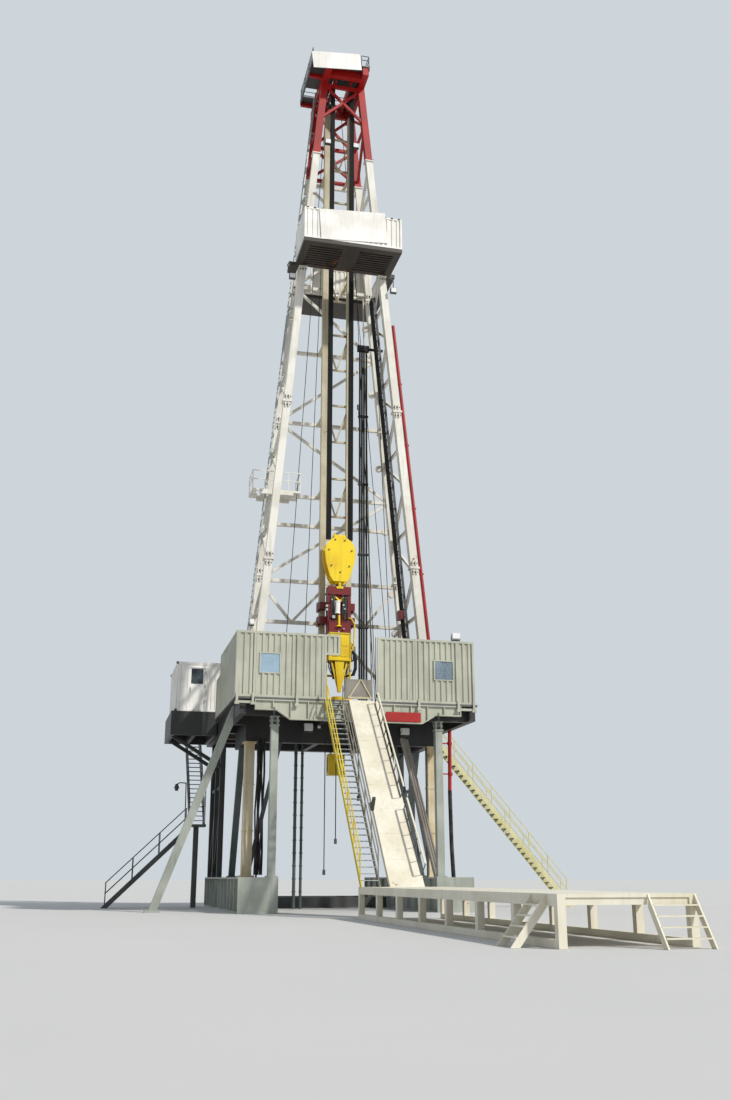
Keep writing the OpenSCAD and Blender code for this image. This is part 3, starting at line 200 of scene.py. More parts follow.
def drawn_zinc(name):
    """Hot-dip galvanised steel: a mottled grey spangle about 40 mm across, half bright."""
    material, tree, shader = new_finish(name)
    shader.inputs["Metallic"].default_value = 0.75
    place = add_node(tree, "ShaderNodeTexCoord").outputs["Object"]
    spangle = add_node(tree, "ShaderNodeTexVoronoi", {"Scale": per_metre(40)}, {"Vector": place})
    colour = add_node(tree, "ShaderNodeMix", {6: linear("#8C9090"), 7: linear("#C2C6C4")},
                      {0: spangle.outputs["Distance"]}, data_type="RGBA")
    tree.links.new(colour.outputs[2], shader.inputs["Base Color"])
    haze = add_node(tree, "ShaderNodeTexNoise", {"Scale": per_metre(300), "Detail": 4}, {"Vector": place})
    rough = add_node(tree, "ShaderNodeMapRange", {"To Min": 0.3, "To Max": 0.65},
                     {"Value": haze.outputs["Fac"]})
    tree.links.new(rough.outputs[0], shader.inputs["Roughness"])
    return material


def greased_rope(name):
    """Steel wire rope under black grease: near black and dull, because the grease holds dust. The
    strands' twist of 80 mm shows as fine slanting ridges."""
    material, tree, shader = new_finish(name)
    shader.inputs["Roughness"].default_value = 0.68
    place = add_node(tree, "ShaderNodeTexCoord").outputs["Object"]
    strands = add_node(tree, "ShaderNodeTexWave", {"Scale": per_metre(80) / tau, "Distortion": 0.5},
                       {"Vector": place}, bands_direction="DIAGONAL")
    colour = add_node(tree, "ShaderNodeMix", {6: linear("#050505"), 7: linear("#121111")},
                      {0: strands.outputs["Fac"]}, data_type="RGBA")
    tree.links.new(colour.outputs[2], shader.inputs["Base Color"])
    bump = add_node(tree, "ShaderNodeBump", {"Strength": 0.6, "Distance": 0.002},
                    {"Height": strands.outputs["Fac"]})
    tree.links.new(bump.outputs[0], shader.inputs["Normal"])
    return material


def moulded_rubber(name):
    """Wrapped rubber hose: matt black with dust in patches and the wrap's ribs 25 mm apart."""
    material, tree, shader = new_finish(name)
    shader.inputs["Roughness"].default_value = 0.78
    place = add_node(tree, "ShaderNodeTexCoord").outputs["Object"]
    dust = add_node(tree, "ShaderNodeTexNoise", {"Scale": per_metre(350), "Detail": 5}, {"Vector": place})
    lying = add_node(tree, "ShaderNodeMapRange", {"From Min": 0.45, "From Max": 0.75},
                     {"Value": dust.outputs["Fac"]})
    colour = add_node(tree, "ShaderNodeMix", {6: linear("#151617"), 7: linear("#43423F")},
                      {0: lying.outputs[0]}, data_type="RGBA")
    tree.links.new(colour.outputs[2], shader.inputs["Base Color"])
    ribs = add_node(tree, "ShaderNodeTexWave", {"Scale": per_metre(25) / tau}, {"Vector": place},
                    bands_direction="Z")
    bump = add_node(tree, "ShaderNodeBump", {"Strength": 0.4, "Distance": 0.0015},
                    {"Height": ribs.outputs["Fac"]})
    tree.links.new(bump.outputs[0], shader.inputs["Normal"])
    return material


def toughened_glass(name, tint, film, through):
    """Toughened window glass, glossy, with a film of dust that blunts the shine. through goes from 0,
    over a dark room, to 1, where the sky behind shows."""
    material, tree, shader = new_finish(name)
    shader.inputs["Transmission Weight"].default_value = through
    place = add_node(tree, "ShaderNodeTexCoord").outputs["Object"]
    dust = add_node(tree, "ShaderNodeTexNoise", {"Scale": per_metre(450), "Detail": 6}, {"Vector": place})
    dusty = add_node(tree, "ShaderNodeMapRange", {"From Min": 0.4, "From Max": 0.8},
                     {"Value": dust.outputs["Fac"]})
    colour = add_node(tree, "ShaderNodeMix", {6: linear(tint), 7: linear(film)},
                      {0: dusty.outputs[0]}, data_type="RGBA")
    tree.links.new(colour.outputs[2], shader.inputs["Base Color"])
    rough = add_node(tree, "ShaderNodeMapRange", {"To Min": 0.06, "To Max": 0.4}, {"Value": dusty.outputs[0]})
    tree.links.new(rough.outputs[0], shader.inputs["Roughness"])
    return material


def lamp_lens(name):
    """Frosted glass of a flood light: pale and glossy, with a fine prism pattern 12 mm apart that
    breaks up what it reflects."""
    material, tree, shader = new_finish(name)
    shader.inputs["Roughness"].default_value = 0.22
    place = add_node(tree, "ShaderNodeTexCoord").outputs["Object"]
    prisms = add_node(tree, "ShaderNodeTexVoronoi", {"Scale": per_metre(24)}, {"Vector": place})
    colour = add_node(tree, "ShaderNodeMix", {6: linear("#F4F5F3"), 7: linear("#DDE1E1")},
                      {0: prisms.outputs["Distance"]}, data_type="RGBA")
    tree.links.new(colour.outputs[2], shader.inputs["Base Color"])
    bump = add_node(tree, "ShaderNodeBump", {"Strength": 0.3, "Distance": 0.001},
                    {"Height": prisms.outputs["Distance"]})
    tree.links.new(bump.outputs[0], shader.inputs["Normal"])
    return material


CREAM = enamel_on_steel("enamel_mast_cream", "#E6E3D9", "#D6D2C6", "#8E887A", rust=0.3, streaks=0.5)
BEIGE = enamel_on_steel("enamel_rail_beige", "#C9BFA3", "#B6AB8E", "#6E6552", rust=0.55, streaks=0.6)
COLUMN = enamel_on_steel("enamel_column_beige", "#DCCFAE", "#CDB98F", "#86705A", rust=0.7, streaks=0.7)
GREY = enamel_on_steel("enamel_leg_grey", "#AAAFA5", "#999E94", "#60625B", rust=0.4, streaks=0.5)
DARK = enamel_on_steel("enamel_frame_dark", "#4B4D4C", "#3D3F3F", "#26221E", rust=0.5, streaks=0.5)
WALL = enamel_on_steel("enamel_wall_grey_green", "#B9BAA9", "#ADAE9D", "#6F6F61", rust=0.15, streaks=0.6)
WHITE = enamel_on_steel("enamel_cabin_white", "#F2F0EB", "#E3E0D7", "#918C80", rust=0.05, streaks=0.35)
RAMP = enamel_on_steel("enamel_ramp_cream", "#E4DFCD", "#DAD3BD", "#9A9079", rust=0.35, streaks=0.3)
# Near black paint on the floor frame, rear posts and doghouse platform: painted shade for the dark under the
# floor
UNDER = enamel_on_steel("enamel_underfloor_painted_shade", "#2E2F2E", "#262726", "#141311", rust=0.6, streaks=0.5)
# Dark slate paint on the inner braces, raking legs and cellar pipes: painted shade from the floor above them
BRACE = enamel_on_steel("enamel_brace_painted_shade", "#545C5B", "#475050", "#2A2C29", rust=0.4, streaks=0.5)
GATE = enamel_on_steel("enamel_gate_brown_grey", "#8F8980", "#7C766D", "#4A443C", rust=0.5, streaks=0.6)
# Dark brown paint, drawn darker than the board's own brown: painted shade for the underside of the
# fingerboard and its walkway
BOARD = enamel_on_steel("enamel_board_brown_and_painted_shade", "#352C24", "#2A221B", "#15100C", rust=0.9, streaks=0.6)
# Right of the datum line, the stair's cream side is drawn grey brown: painted shade on cream paint
STAIR = enamel_on_steel("enamel_stair_yellow_and_shaded_cream", "#D8C33A", "#C4AC33", "#6D6026", rust=0.4,
                        streaks=0.3, beyond=("#7A766A", -0.66))
PALE_STAIR = enamel_on_steel("enamel_stair_worn_yellow", "#D6CF9A", "#CFC785", "#77714C", rust=0.4,
                             streaks=0.4)
RED = enamel_on_steel("enamel_crown_red", "#A80F0A", "#93140E", "#460D09", rust=0.1, streaks=0.4)
DRIVE = enamel_on_steel("enamel_drive_red", "#75100F", "#651012", "#240B0B", rust=0.1, streaks=0.5,
                        roughness=0.4)
YELLOW = enamel_on_steel("enamel_hoist_yellow", "#F4D313", "#E6BD16", "#6B5613", rust=0.1, streaks=0.4,
                         roughness=0.4)
SAFETY = enamel_on_steel("enamel_rail_yellow", "#D8C33A", "#C4AC33", "#6D6026", rust=0.4, streaks=0.3)
GRATING = galvanised_grating("grating_galvanised")
ZINC = drawn_zinc("zinc_hot_dip")
ROPE = greased_rope("rope_greased")
RUBBER = moulded_rubber("rubber_moulded")
GLASS = toughened_glass("glass_toughened", "#12181D", "#4A545A", 0.0)
CLEAR_GLASS = toughened_glass("glass_clear", "#C4DCEC", "#B9D2E0", 0.8)
LAMP = lamp_lens("lens_frosted")

NODE_FINISHES = [
    (CREAM, ["mast_leg_front_left", "mast_leg_front_right", "mast_leg_rear_left", "mast_leg_rear_right",
             "mast_rear_bracing", "mast_left_bracing", "mast_right_bracing", "side_platform"]),
    (BEIGE, ["guide_rails", "rail_brackets"]),
    (COLUMN, ["main_columns"]),
    (GREY, ["base_boxes", "front_legs", "wind_strut"]),
    (BRACE, ["inner_braces", "raking_legs"]),
    (UNDER, ["floor_frame", "rear_posts", "doghouse_platform"]),
    (DARK, ["base_spreaders", "left_stair_sides", "left_stair_landings", "crown_sheaves", "crown_platform"]),
    (BOARD, ["fingerboard", "monkey_walkway"]),
    (ZINC, ["mast_ladder"]),
    (GRATING, ["floor_deck", "left_stair_treads", "right_stair_treads", "ramp_stair_treads"]),
    (WALL, ["front_girder", "windwall_front_left", "windwall_front_right", "windwall_sides"]),
    (WHITE, ["doghouse_walls", "doghouse_front", "doghouse_roof", "monkey_walls"]),
    (GATE, ["v_door_gate"]),
    (RAMP, ["pipe_ramp", "pipe_ramp_rail", "catwalk_deck", "catwalk_sides", "catwalk_stairs"]),
    (RED, ["mast_top_section", "crown_frame", "standpipe"]),
    (DRIVE, ["top_drive", "rotary_table"]),
    (YELLOW, ["travelling_block", "pipe_handler", "elevator_links", "cellar_trolley"]),
    (SAFETY, ["floor_handrails"]),
    (PALE_STAIR, ["right_stair_sides"]),
    (STAIR, ["ramp_stair_sides"]),
    (ROPE, ["drilling_lines"]),
    (RUBBER, ["hose_bundle"]),
    (CLEAR_GLASS, ["window_panes"]),
]

for finish, nodes in NODE_FINISHES:
    for node in nodes:
        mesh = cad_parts[node].data
        mesh.materials.clear()
        mesh.materials.append(finish)


# The drilling lines get a mesh of their own
lines_low, lines_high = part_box("drilling_lines")
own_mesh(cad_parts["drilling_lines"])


# Shapes of the added pieces, made in metres of the model from the datum


def turned(start, end):
    """What lays a shape that stands on Z along the line from start to end, and the line's length."""
    start, end = at(*start), at(*end)
    run = end - start
    lean = run.to_track_quat("Z", "Y").to_matrix().to_4x4()
    return Matrix.Translation((start + end) / 2) @ lean, run.length


def rounded(shape, verts, edge):
    """Rounds off the edges at these vertices by edge."""
    edges = list({e for v in verts for e in v.link_edges})
    bmesh.ops.bevel(shape, geom=edges, offset=edge, affect="EDGES", segments=2, profile=0.5, material=-1)


def block(shape, low, high, edge=0.0):
    """A box between two corners, with its edges rounded off by edge."""
    low, high = at(*low), at(*high)
    made = bmesh.ops.create_cube(shape, size=1)["verts"]
    bmesh.ops.scale(shape, verts=made, vec=high - low)
    bmesh.ops.translate(shape, verts=made, vec=(low + high) / 2)
    if edge:
        rounded(shape, made, edge)


def bar(shape, start, end, width, depth, edge=0.0):
    """A straight bar with a rectangular section."""
    place, length = turned(start, end)
    made = bmesh.ops.create_cube(shape, size=1)["verts"]
    bmesh.ops.scale(shape, verts=made, vec=(width, depth, length))
    bmesh.ops.transform(shape, verts=made, matrix=place)
    if edge:
        rounded(shape, made, edge)


def rod(shape, start, end, radius, tip=None, sides=16):
    """A round rod, or a cone where tip gives another radius for its end."""
    place, length = turned(start, end)
    made = bmesh.ops.create_cone(shape, cap_ends=True, segments=sides, radius1=radius,
                                 radius2=radius if tip is None else tip, depth=length, matrix=place)["verts"]
    for face in {f for v in made for f in v.link_faces}:
        face.smooth = len(face.verts) == 4
        if len(face.verts) > 4:
            for edge in face.edges:
                edge.smooth = False


def pipe(shape, points, radius, sides=12):
    """A bent pipe through points, with a ball at every bend that closes the gap there."""
    for start, end in zip(points, points[1:]):
        rod(shape, start, end, radius, sides=sides)
    for point in points[1:-1]:
        made = bmesh.ops.create_uvsphere(shape, u_segments=sides, v_segments=8, radius=radius * 1.02,
                                         matrix=Matrix.Translation(at(*point)))["verts"]
        for face in {f for v in made for f in v.link_faces}:
            face.smooth = True


def piece(name, shape, finish, body="rig"):
    """The finished piece: its faces turned outwards, its material given, and set to ride on a body."""
    bmesh.ops.recalc_face_normals(shape, faces=shape.faces)
    mesh = bpy.data.meshes.new(name)
    shape.to_mesh(mesh)
    shape.free()
    mesh.materials.append(finish)
    made = bpy.data.objects.new(name, mesh)
    bpy.context.scene.collection.objects.link(made)
    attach(made, body)
    return made


# Places that several pieces share, from the datum

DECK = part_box("floor_deck")[1].z
WALL_FACE = -3.0
RAMP_FOOT_Y, RAMP_FOOT_Z = -6.5, 0.575
RAMP_RUN, RAMP_RISE = 3.5, 4.05
MAST_FOOT_X, MAST_HEAD_X = 2.26, 0.55
FRONT_FOOT_Y, FRONT_HEAD_Y = -0.995, -0.542
REAR_Y = 0.75
MAST_HEAD = 23.3
LEG = 0.19
LEG_JOINTS = (8.455, 12.855, 17.01)
CROWN_FLOOR = 23.56
BOARD_LOW, BOARD_HEIGHT = 17.1, 0.925


def leg_middle(side, rear, z):
    """The middle of a mast leg at height z."""
    share = (z - DECK) / (MAST_HEAD - DECK)
    y = REAR_Y if rear else FRONT_FOOT_Y + (FRONT_HEAD_Y - FRONT_FOOT_Y) * share
    return side * (MAST_FOOT_X + (MAST_HEAD_X - MAST_FOOT_X) * share), y, z


# Mast


def leg_joint_ears():
    """Pinned ears on the front and rear faces of the legs' joints."""
    ears, pins = bmesh.new(), bmesh.new()
    for z, side, rear, up, face in product(LEG_JOINTS, (-1, 1), (False, True), (-1, 1), (-1, 1)):
        x, y, middle = leg_middle(side, rear, z + up * 0.12)
        wall = y + face * LEG / 2
        for ear in (-0.06, 0.02):
            block(ears, (x + ear, min(wall, wall + face * 0.036), middle - 0.065),
                  (x + ear + 0.03, max(wall, wall + face * 0.036), middle + 0.065), 0.005)
        rod(pins, (x - 0.08, wall + face * 0.02, middle), (x + 0.08, wall + face * 0.02, middle), 0.014)
    piece("leg_joint_ears", ears, CREAM)
    piece("leg_joint_pins", pins, DARK)


def gusset_plates():
    """Plates where the rear face's girts and diagonals meet."""
    plates = bmesh.new()
    for z, side in product((7.06, 8.15, 9.925, 11.78, 14.03, 16.1, 18.2, 20.6), (-1, 1)):
        x = leg_middle(side, True, z)[0] - side * LEG
        place = Matrix.Translation(at(x, REAR_Y, z)) @ Matrix.Rotation(pi / 2, 4, "X")
        made = bmesh.ops.create_cone(plates, cap_ends=True, segments=6, radius1=0.1, radius2=0.1, depth=0.105,
                                     matrix=place)["verts"]
        rounded(plates, made, 0.004)
    piece("rear_gusset_plates", plates, CREAM)


def cable_tray():
    """The cable tray with its cables and its junction box, inside the right side of the mast."""
    tray, cables, boxes = bmesh.new(), bmesh.new(), bmesh.new()
    low, high, rungs = DECK + 0.035, 16.6, 60

    def along(z, inward, y):
        """A point at height z, inward of the right rear leg's middle."""
        return leg_middle(1, True, z)[0] - inward, y, z

    for y in (-0.24, 0.1):
        bar(tray, along(low, 0.13, y), along(high, 0.13, y), 0.012, 0.07)
    for i in range(rungs):
        z = low + 0.1 + (high - low - 0.2) * i / (rungs - 1)
        block(tray, (along(z, 0.14, 0)[0], -0.24, z - 0.012), (along(z, 0.125, 0)[0], 0.1, z + 0.012))
    for i, radius in enumerate((0.022, 0.016, 0.026, 0.014, 0.024, 0.018, 0.02)):
        y = -0.2 + i * 0.043
        rod(cables, along(low - 0.03, 0.165 + radius, y), along(high, 0.165 + radius, y), radius, sides=10)
    x = along(7.24, 0.29, 0)[0]
    block(boxes, (x - 0.06, -0.26, 7.24), (x + 0.07, -0.02, 7.48), 0.01)
    piece("cable_tray", tray, DARK)
    piece("tray_cables", cables, RUBBER)
    piece("tray_junction_box", boxes, DRIVE)


def hanging_ropes():
    """Thin winch ropes from the crown and from the mast's side to the deck, with their swivels."""
    ropes, swivels = bmesh.new(), bmesh.new()
    for top, (x, y) in (((-0.345, 0.15, 23.25), (-1.34, 0.15)), ((-0.28, 0.15, 23.25), (-0.8, 0.15)),
                        ((0.08, 0.15, 23.25), (1.61, 0.15)), ((0.32, 0.2, 23.25), (1.2, 0.2)),
                        ((1.2, 0.15, 15.0), (1.62, 0.15)), ((0.566, -0.25, 13.225), (1.05, -0.25))):
        rod(ropes, top, (x, y, DECK + 0.035), 0.009, sides=8)
        rod(swivels, top, (top[0], top[1], top[2] - 0.14), 0.03, sides=12)
        rod(swivels, (x, y, DECK + 0.005), (x, y, DECK + 0.175), 0.034, sides=12)
    piece("winch_ropes", ropes, ROPE)
    piece("winch_rope_swivels", swivels, DARK)


def outer_rows_of_lines():
    """The rows of drilling lines in front of and behind the middle one."""
    lines = bmesh.new()
    for side, y, i in product((-1, 1), (WELL_Y + 0.026, WELL_Y - 0.026), range(4)):
        x = side * (0.24 + i * 0.034) + 0.014
        rod(lines, (x, y, lines_low.z + 0.03), (x, y, lines_high.z - 0.002), 0.011, sides=10)
    made = piece("drilling_lines_outer_rows", lines, ROPE)
    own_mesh(made)


# Monkey board and crown


def whip_post_and_lamps():
    """The thin post on the fingerboard's front wall and the flood lights round the board."""
    post, housings, faces, arms = bmesh.new(), bmesh.new(), bmesh.new(), bmesh.new()
    rod(post, (0.06, -2.0, 18.0), (0.06, -2.0, 18.52), 0.013)
    pipe(arms, [(-1.36, -0.72, 16.75), (-1.5, -0.72, 16.75), (-1.56, -0.72, 17.0), (-1.5, -0.72, 17.12)],
         0.016)
    pipe(arms, [(1.3, -0.9, 16.9), (1.42, -0.9, 16.8), (1.42, -0.9, 16.6)], 0.014)
    for x, y, z in ((-1.42, -0.72, 16.66), (1.42, -0.9, 16.5), (-0.42, -0.5, 21.35), (0.42, -0.5, 21.35)):
        block(housings, (x - 0.09, y - 0.06, z - 0.08), (x + 0.09, y + 0.05, z + 0.08), 0.012)
        block(faces, (x - 0.075, y - 0.066, z - 0.065), (x + 0.075, y - 0.055, z + 0.065))
    piece("board_whip_post", post, WHITE)
    piece("board_lamp_arms", arms, DARK)
    piece("mast_lamp_housings", housings, DARK)
    piece("mast_lamp_faces", faces, LAMP)


def crown_walkway():
    """The crown's walkway plates round the sheaves and its rails, drawn dark as painted shade, and the white
    sheet on the front.
    """
    plates, rails, sheet = bmesh.new(), bmesh.new(), bmesh.new()
    z = CROWN_FLOOR
    for x0, y0, x1, y1 in ((-1.05, -1.25, 0.66, -0.9), (-1.05, -0.9, -0.27, 0.04), (0.27, -0.9, 0.66, 0.72),
                           (-1.05, 0.04, -1.0, 0.45), (-0.65, 0.04, -0.27, 0.45), (-1.05, 0.45, -0.27, 0.72),
                           (-0.27, 0.6, 0.27, 0.72)):
        block(plates, (x0, y0, z), (x1, y1, z + 0.03))
    for x in (-1.04, 0.65):
        block(plates, (x - 0.01, -1.25, z - 0.09), (x + 0.01, 0.72, z + 0.08))
    block(plates, (-1.05, 0.71, z - 0.09), (0.66, 0.73, z + 0.08))
    corners = [(-1.03, -1.22), (-1.03, 0.7), (0.64, 0.7), (0.64, -1.22), (0.42, -1.22)]
    for up in (0.26, 0.4):
        pipe(rails, [(x, y, z + up) for x, y in corners], 0.011, sides=8)
    for x, y in corners + [(-1.03, -0.58), (-1.03, 0.06), (0.64, -0.58), (0.64, 0.06), (-0.2, 0.7)]:
        rod(rails, (x, y, z + 0.02), (x, y, z + 0.4), 0.012, sides=8)
    bar(sheet, (-1.05, -1.262, z - 0.05), (0.385, -1.262, z + 0.13), 0.018, 0.55, 0.004)
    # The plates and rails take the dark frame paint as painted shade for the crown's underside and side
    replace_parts(piece("crown_walkway_plates", plates, DARK), "crown_platform")
    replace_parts(piece("crown_walkway_rails", rails, DARK), "crown_platform")
    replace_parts(piece("crown_front_sheet", sheet, WHITE), "crown_platform")


def wall_clamps():
    """Small clamps along the top edge of the fingerboard's front wall."""
    clamps = bmesh.new()
    for i in range(14):
        x = -1.27 + i * 0.195
        block(clamps, (x - 0.03, -2.09, 18.0), (x + 0.03, -2.02, 18.035))
    piece("board_wall_clamps", clamps, DARK)


def ribbed_wall(shape, x, y, length, along_x=True):
    """A wall of ribbed sheet in a frame of flat bars, from its left or front end."""
    low, high = BOARD_LOW, BOARD_LOW + BOARD_HEIGHT

    def put(a0, b0, z0, a1, b1, z1, edge=0.0):
        """A box that lies a along the wall and b across it."""
        if along_x:
            block(shape, (x + a0, y + b0, z0), (x + a1, y + b1, z1), edge)
        else:
            block(shape, (x - b1, y + a0, z0), (x - b0, y + a1, z1), edge)

    put(0, 0, low, length, 0.05, low + 0.05)
    put(0, 0, high - 0.05, length, 0.05, high)
    put(0, 0, low + 0.05, 0.05, 0.05, high - 0.05)
    put(length - 0.05, 0, low + 0.05, length, 0.05, high - 0.05)
    put(0.05, 0.026, low + 0.05, length - 0.05, 0.034, high - 0.05)
    ribs = round((length - 0.1) / 0.139)
    for i in range(ribs):
        a = 0.05 + (i + 0.5) * (length - 0.1) / ribs
        put(a - 0.034, 0.007, low + 0.04, a + 0.034, 0.03, high - 0.04, 0.009)


def board_walls():
    """The ribbed walls round the fingerboard and its rear deck, and the bare sheet hung on the front."""
    walls, sheet = bmesh.new(), bmesh.new()
    ribbed_wall(walls, -1.35, -2.08, 2.7)
    ribbed_wall(walls, -1.04, 1.875, 2.54)
    ribbed_wall(walls, -0.6, 0.88, 1.84)
    for x, y, length in ((1.35, -2.03, 1.265), (-1.3, -2.03, 1.265), (-0.99, 0.935, 0.935),
                         (1.5, 0.935, 0.935)):
        ribbed_wall(walls, x, y, length, along_x=False)
    bar(sheet, (-0.925, -2.09, 17.545), (0.905, -2.09, 17.68), 0.018, 0.92, 0.004)
    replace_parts(piece("board_walls", walls, WHITE), "monkey_walls")
    piece("board_front_sheet", sheet, WHITE)


# Hoist


def block_fittings():
    """Bolts on the travelling block's cheek plates, its head guard and the bail under it."""
    bolts, guard, bail = bmesh.new(), bmesh.new(), bmesh.new()
    for face, out in ((-0.69, -0.022), (-0.31, 0.022)):
        for x, z in ((-0.137, 9.16), (0.117, 9.15), (-0.3, 8.88), (0.3, 8.88), (-0.235, 8.46), (0.235, 8.46),
                     (0.0, 8.29)):
            rod(bolts, (x, face, z), (x, face + out, z), 0.02, sides=12)
    block(guard, (-0.16, -0.62, 9.22), (0.16, -0.38, 9.32), 0.02)
    for x in (-0.12, 0.12):
        rod(guard, (x, -0.5, 9.28), (x, -0.5, 9.4), 0.022, sides=12)
    rod(bail, (0.0, -0.63, 8.06), (0.0, -0.63, 7.9), 0.042, tip=0.036)
    block(bail, (-0.09, -0.66, 7.86), (0.09, -0.6, 7.92), 0.01)
    piece("block_cheek_bolts", bolts, DARK, "hoist")
    piece("block_head_guard", guard, YELLOW, "hoist")
    piece("block_bail", bail, YELLOW, "hoist")


def top_drive_fittings():
    """The top drive's blower cover, swivel pipe, valves, motors, hydraulic lines and torque arm."""
    cover, neck, lines, valves, motors, arm = (bmesh.new() for _ in range(6))
    rod(cover, (-0.06, -0.62, 7.22), (-0.06, -0.62, 7.5), 0.072, tip=0.08, sides=24)
    rod(cover, (-0.06, -0.62, 7.5), (-0.06, -0.62, 7.53), 0.09, sides=24)
    rod(cover, (-0.06, -0.62, 7.2), (-0.06, -0.62, 7.225), 0.085, sides=24)
    pipe(neck, [(-0.13, -0.62, 7.58), (-0.115, -0.62, 7.64), (-0.02, -0.62, 7.56), (0.05, -0.62, 7.55),
                (0.08, -0.62, 7.64)], 0.026)
    rod(neck, (-0.02, -0.66, 6.9), (-0.02, -0.66, 7.16), 0.03)
    rod(neck, (-0.02, -0.64, 6.86), (-0.02, -0.64, 6.9), 0.09, tip=0.045, sides=20)
    for x, z, size in ((-0.343, 7.38, 0.03), (-0.343, 7.28, 0.03), (-0.21, 7.55, 0.022), (-0.166, 7.1, 0.04),
                       (0.1, 6.8, 0.02), (-0.03, 6.72, 0.02), (0.09, 7.42, 0.026), (0.12, 7.32, 0.022)):
        block(valves, (x - size, -0.7, z - size), (x + size, -0.64, z + size), 0.008)
    for x in (-0.16, 0.14):
        block(motors, (x - 0.06, -0.6, 7.06), (x + 0.06, -0.42, 7.66), 0.02)
        for i in range(9):
            block(motors, (x - 0.068, -0.61, 7.12 + i * 0.06), (x + 0.068, -0.41, 7.135 + i * 0.06))
    for i, x in enumerate((-0.2, -0.13, 0.06, 0.12, 0.18)):
        pipe(lines, [(x, -0.655, 7.7), (x + 0.02, -0.67, 7.5 - 0.03 * i), (x - 0.015, -0.67, 7.2),
                     (x, -0.655, 6.98)], 0.011, sides=8)
    pipe(arm, [(0.24, -0.62, 7.1), (0.31, -0.65, 7.08), (0.39, -0.65, 6.95), (0.385, -0.65, 6.72),
               (0.365, -0.65, 6.33), (0.31, -0.65, 6.25)], 0.02)
    piece("drive_blower_cover", cover, WHITE, "hoist")
    piece("drive_swivel_pipe", neck, YELLOW, "hoist")
    piece("drive_valves", valves, ZINC, "hoist")
    piece("drive_motors", motors, DARK, "hoist")
    piece("drive_hydraulic_lines", lines, RUBBER, "hoist")
    piece("drive_torque_arm", arm, YELLOW, "hoist")


def handler_fittings():
    """Edge strips, inspection covers and bolts on the handler, and the gripper under it."""
    strips, covers, gripper, lines = (bmesh.new() for _ in range(4))
    for x in (-0.275, 0.275):
        block(strips, (x - 0.012, -0.704, 6.03), (x + 0.012, -0.688, 6.69))
    block(strips, (-0.285, -0.704, 6.665), (0.285, -0.688, 6.7))
    block(covers, (0.03, -0.7, 6.36), (0.2, -0.688, 6.6), 0.004)
    block(covers, (0.03, -0.7, 6.08), (0.2, -0.688, 6.3), 0.004)
    block(covers, (-0.2, -0.7, 6.08), (-0.03, -0.688, 6.6), 0.004)
    for x in (-0.1, 0.1):
        rod(gripper, (x, -0.44, 5.98), (x, -0.44, 5.62), 0.035)
    block(gripper, (-0.17, -0.56, 5.8), (0.17, -0.36, 5.97), 0.02)
    block(gripper, (-0.13, -0.52, 5.55), (0.13, -0.38, 5.66), 0.02)
    for x in (-0.24, -0.2, 0.2, 0.24):
        pipe(lines, [(x, -0.5, 5.99), (x * 1.08, -0.53, 5.85), (x * 0.8, -0.5, 5.7), (x * 0.5, -0.46, 5.64)],
             0.013, sides=8)
    piece("handler_edge_strips", strips, SAFETY, "hoist")
    piece("handler_inspection_covers", covers, YELLOW, "hoist")
    piece("handler_gripper", gripper, DRIVE, "hoist")
    piece("handler_gripper_lines", lines, RUBBER, "hoist")


def link_fittings():
    """Clamps along the links and the latch on the elevator."""
    clamps = bmesh.new()
    for side in (-1, 1):
        for z in (5.35, 5.75, 6.1):
            rod(clamps, (side * 0.318, -0.5, z), (side * 0.318, -0.5, z + 0.05), 0.036, sides=14)
    piece("link_clamps", clamps, ZINC, "links")


def service_hoses():
    """Hydraulic hoses that leave the handler on its right side and run to the gripper."""
    hoses = bmesh.new()
    for i in range(4):
        x, y = 0.33 + 0.035 * i, -0.42 - 0.03 * i
        pipe(hoses, [(0.29, y, 6.62 - 0.04 * i), (x, y, 6.5 - 0.04 * i), (x, y, 6.05),
                     (0.27, -0.44 - 0.02 * i, 5.96)], 0.014, sides=8)
    for i in range(3):
        x, y = 0.44 + 0.035 * i, -0.43 + 0.03 * i
        pipe(hoses, [(0.28, y, 6.3), (x - 0.04, y, 6.26), (x, y, 6.1), (x, y, 5.85), (x - 0.06, y, 5.68),
                     (0.1, y, 5.62)], 0.015, sides=8)
    piece("handler_service_hoses", hoses, RUBBER, "hoist")


# Drill floor and wind walls


def wall_fittings():
    """Hooks under the wall's seams, the post beside the ramp's opening, drawn as painted shade with a painted
    lit strip on its face, and strips on the deck's edge.
    """
    hooks, strips, post, edge = (bmesh.new() for _ in range(4))
    for x in (-2.86, -2.5, -1.5, 1.37, 2.33, 2.71):
        block(hooks, (x - 0.028, WALL_FACE - 0.04, 4.44), (x + 0.028, WALL_FACE, 4.7), 0.006)
        block(hooks, (x - 0.05, WALL_FACE - 0.05, 4.44), (x + 0.05, WALL_FACE - 0.01, 4.5), 0.006)
    for low, high in ((-2.9, -2.5), (2.39, 2.73)):
        block(strips, (low, WALL_FACE - 0.012, 4.47), (high, WALL_FACE, 4.53), 0.004)
    # The post is dark as painted shade, and the white strip on its face stands for its sunlit face, painted
    # on
    block(post, (0.345, WALL_FACE + 0.002, DECK + 0.005), (0.383, WALL_FACE + 0.05, 6.12), 0.004)
    block(edge, (0.356, WALL_FACE - 0.006, DECK + 0.005), (0.372, WALL_FACE + 0.004, 6.12))
    piece("wall_hooks", hooks, WALL)
    piece("deck_edge_strips", strips, WALL)
    piece("opening_post", post, DARK)
    piece("opening_post_edge", edge, WHITE)


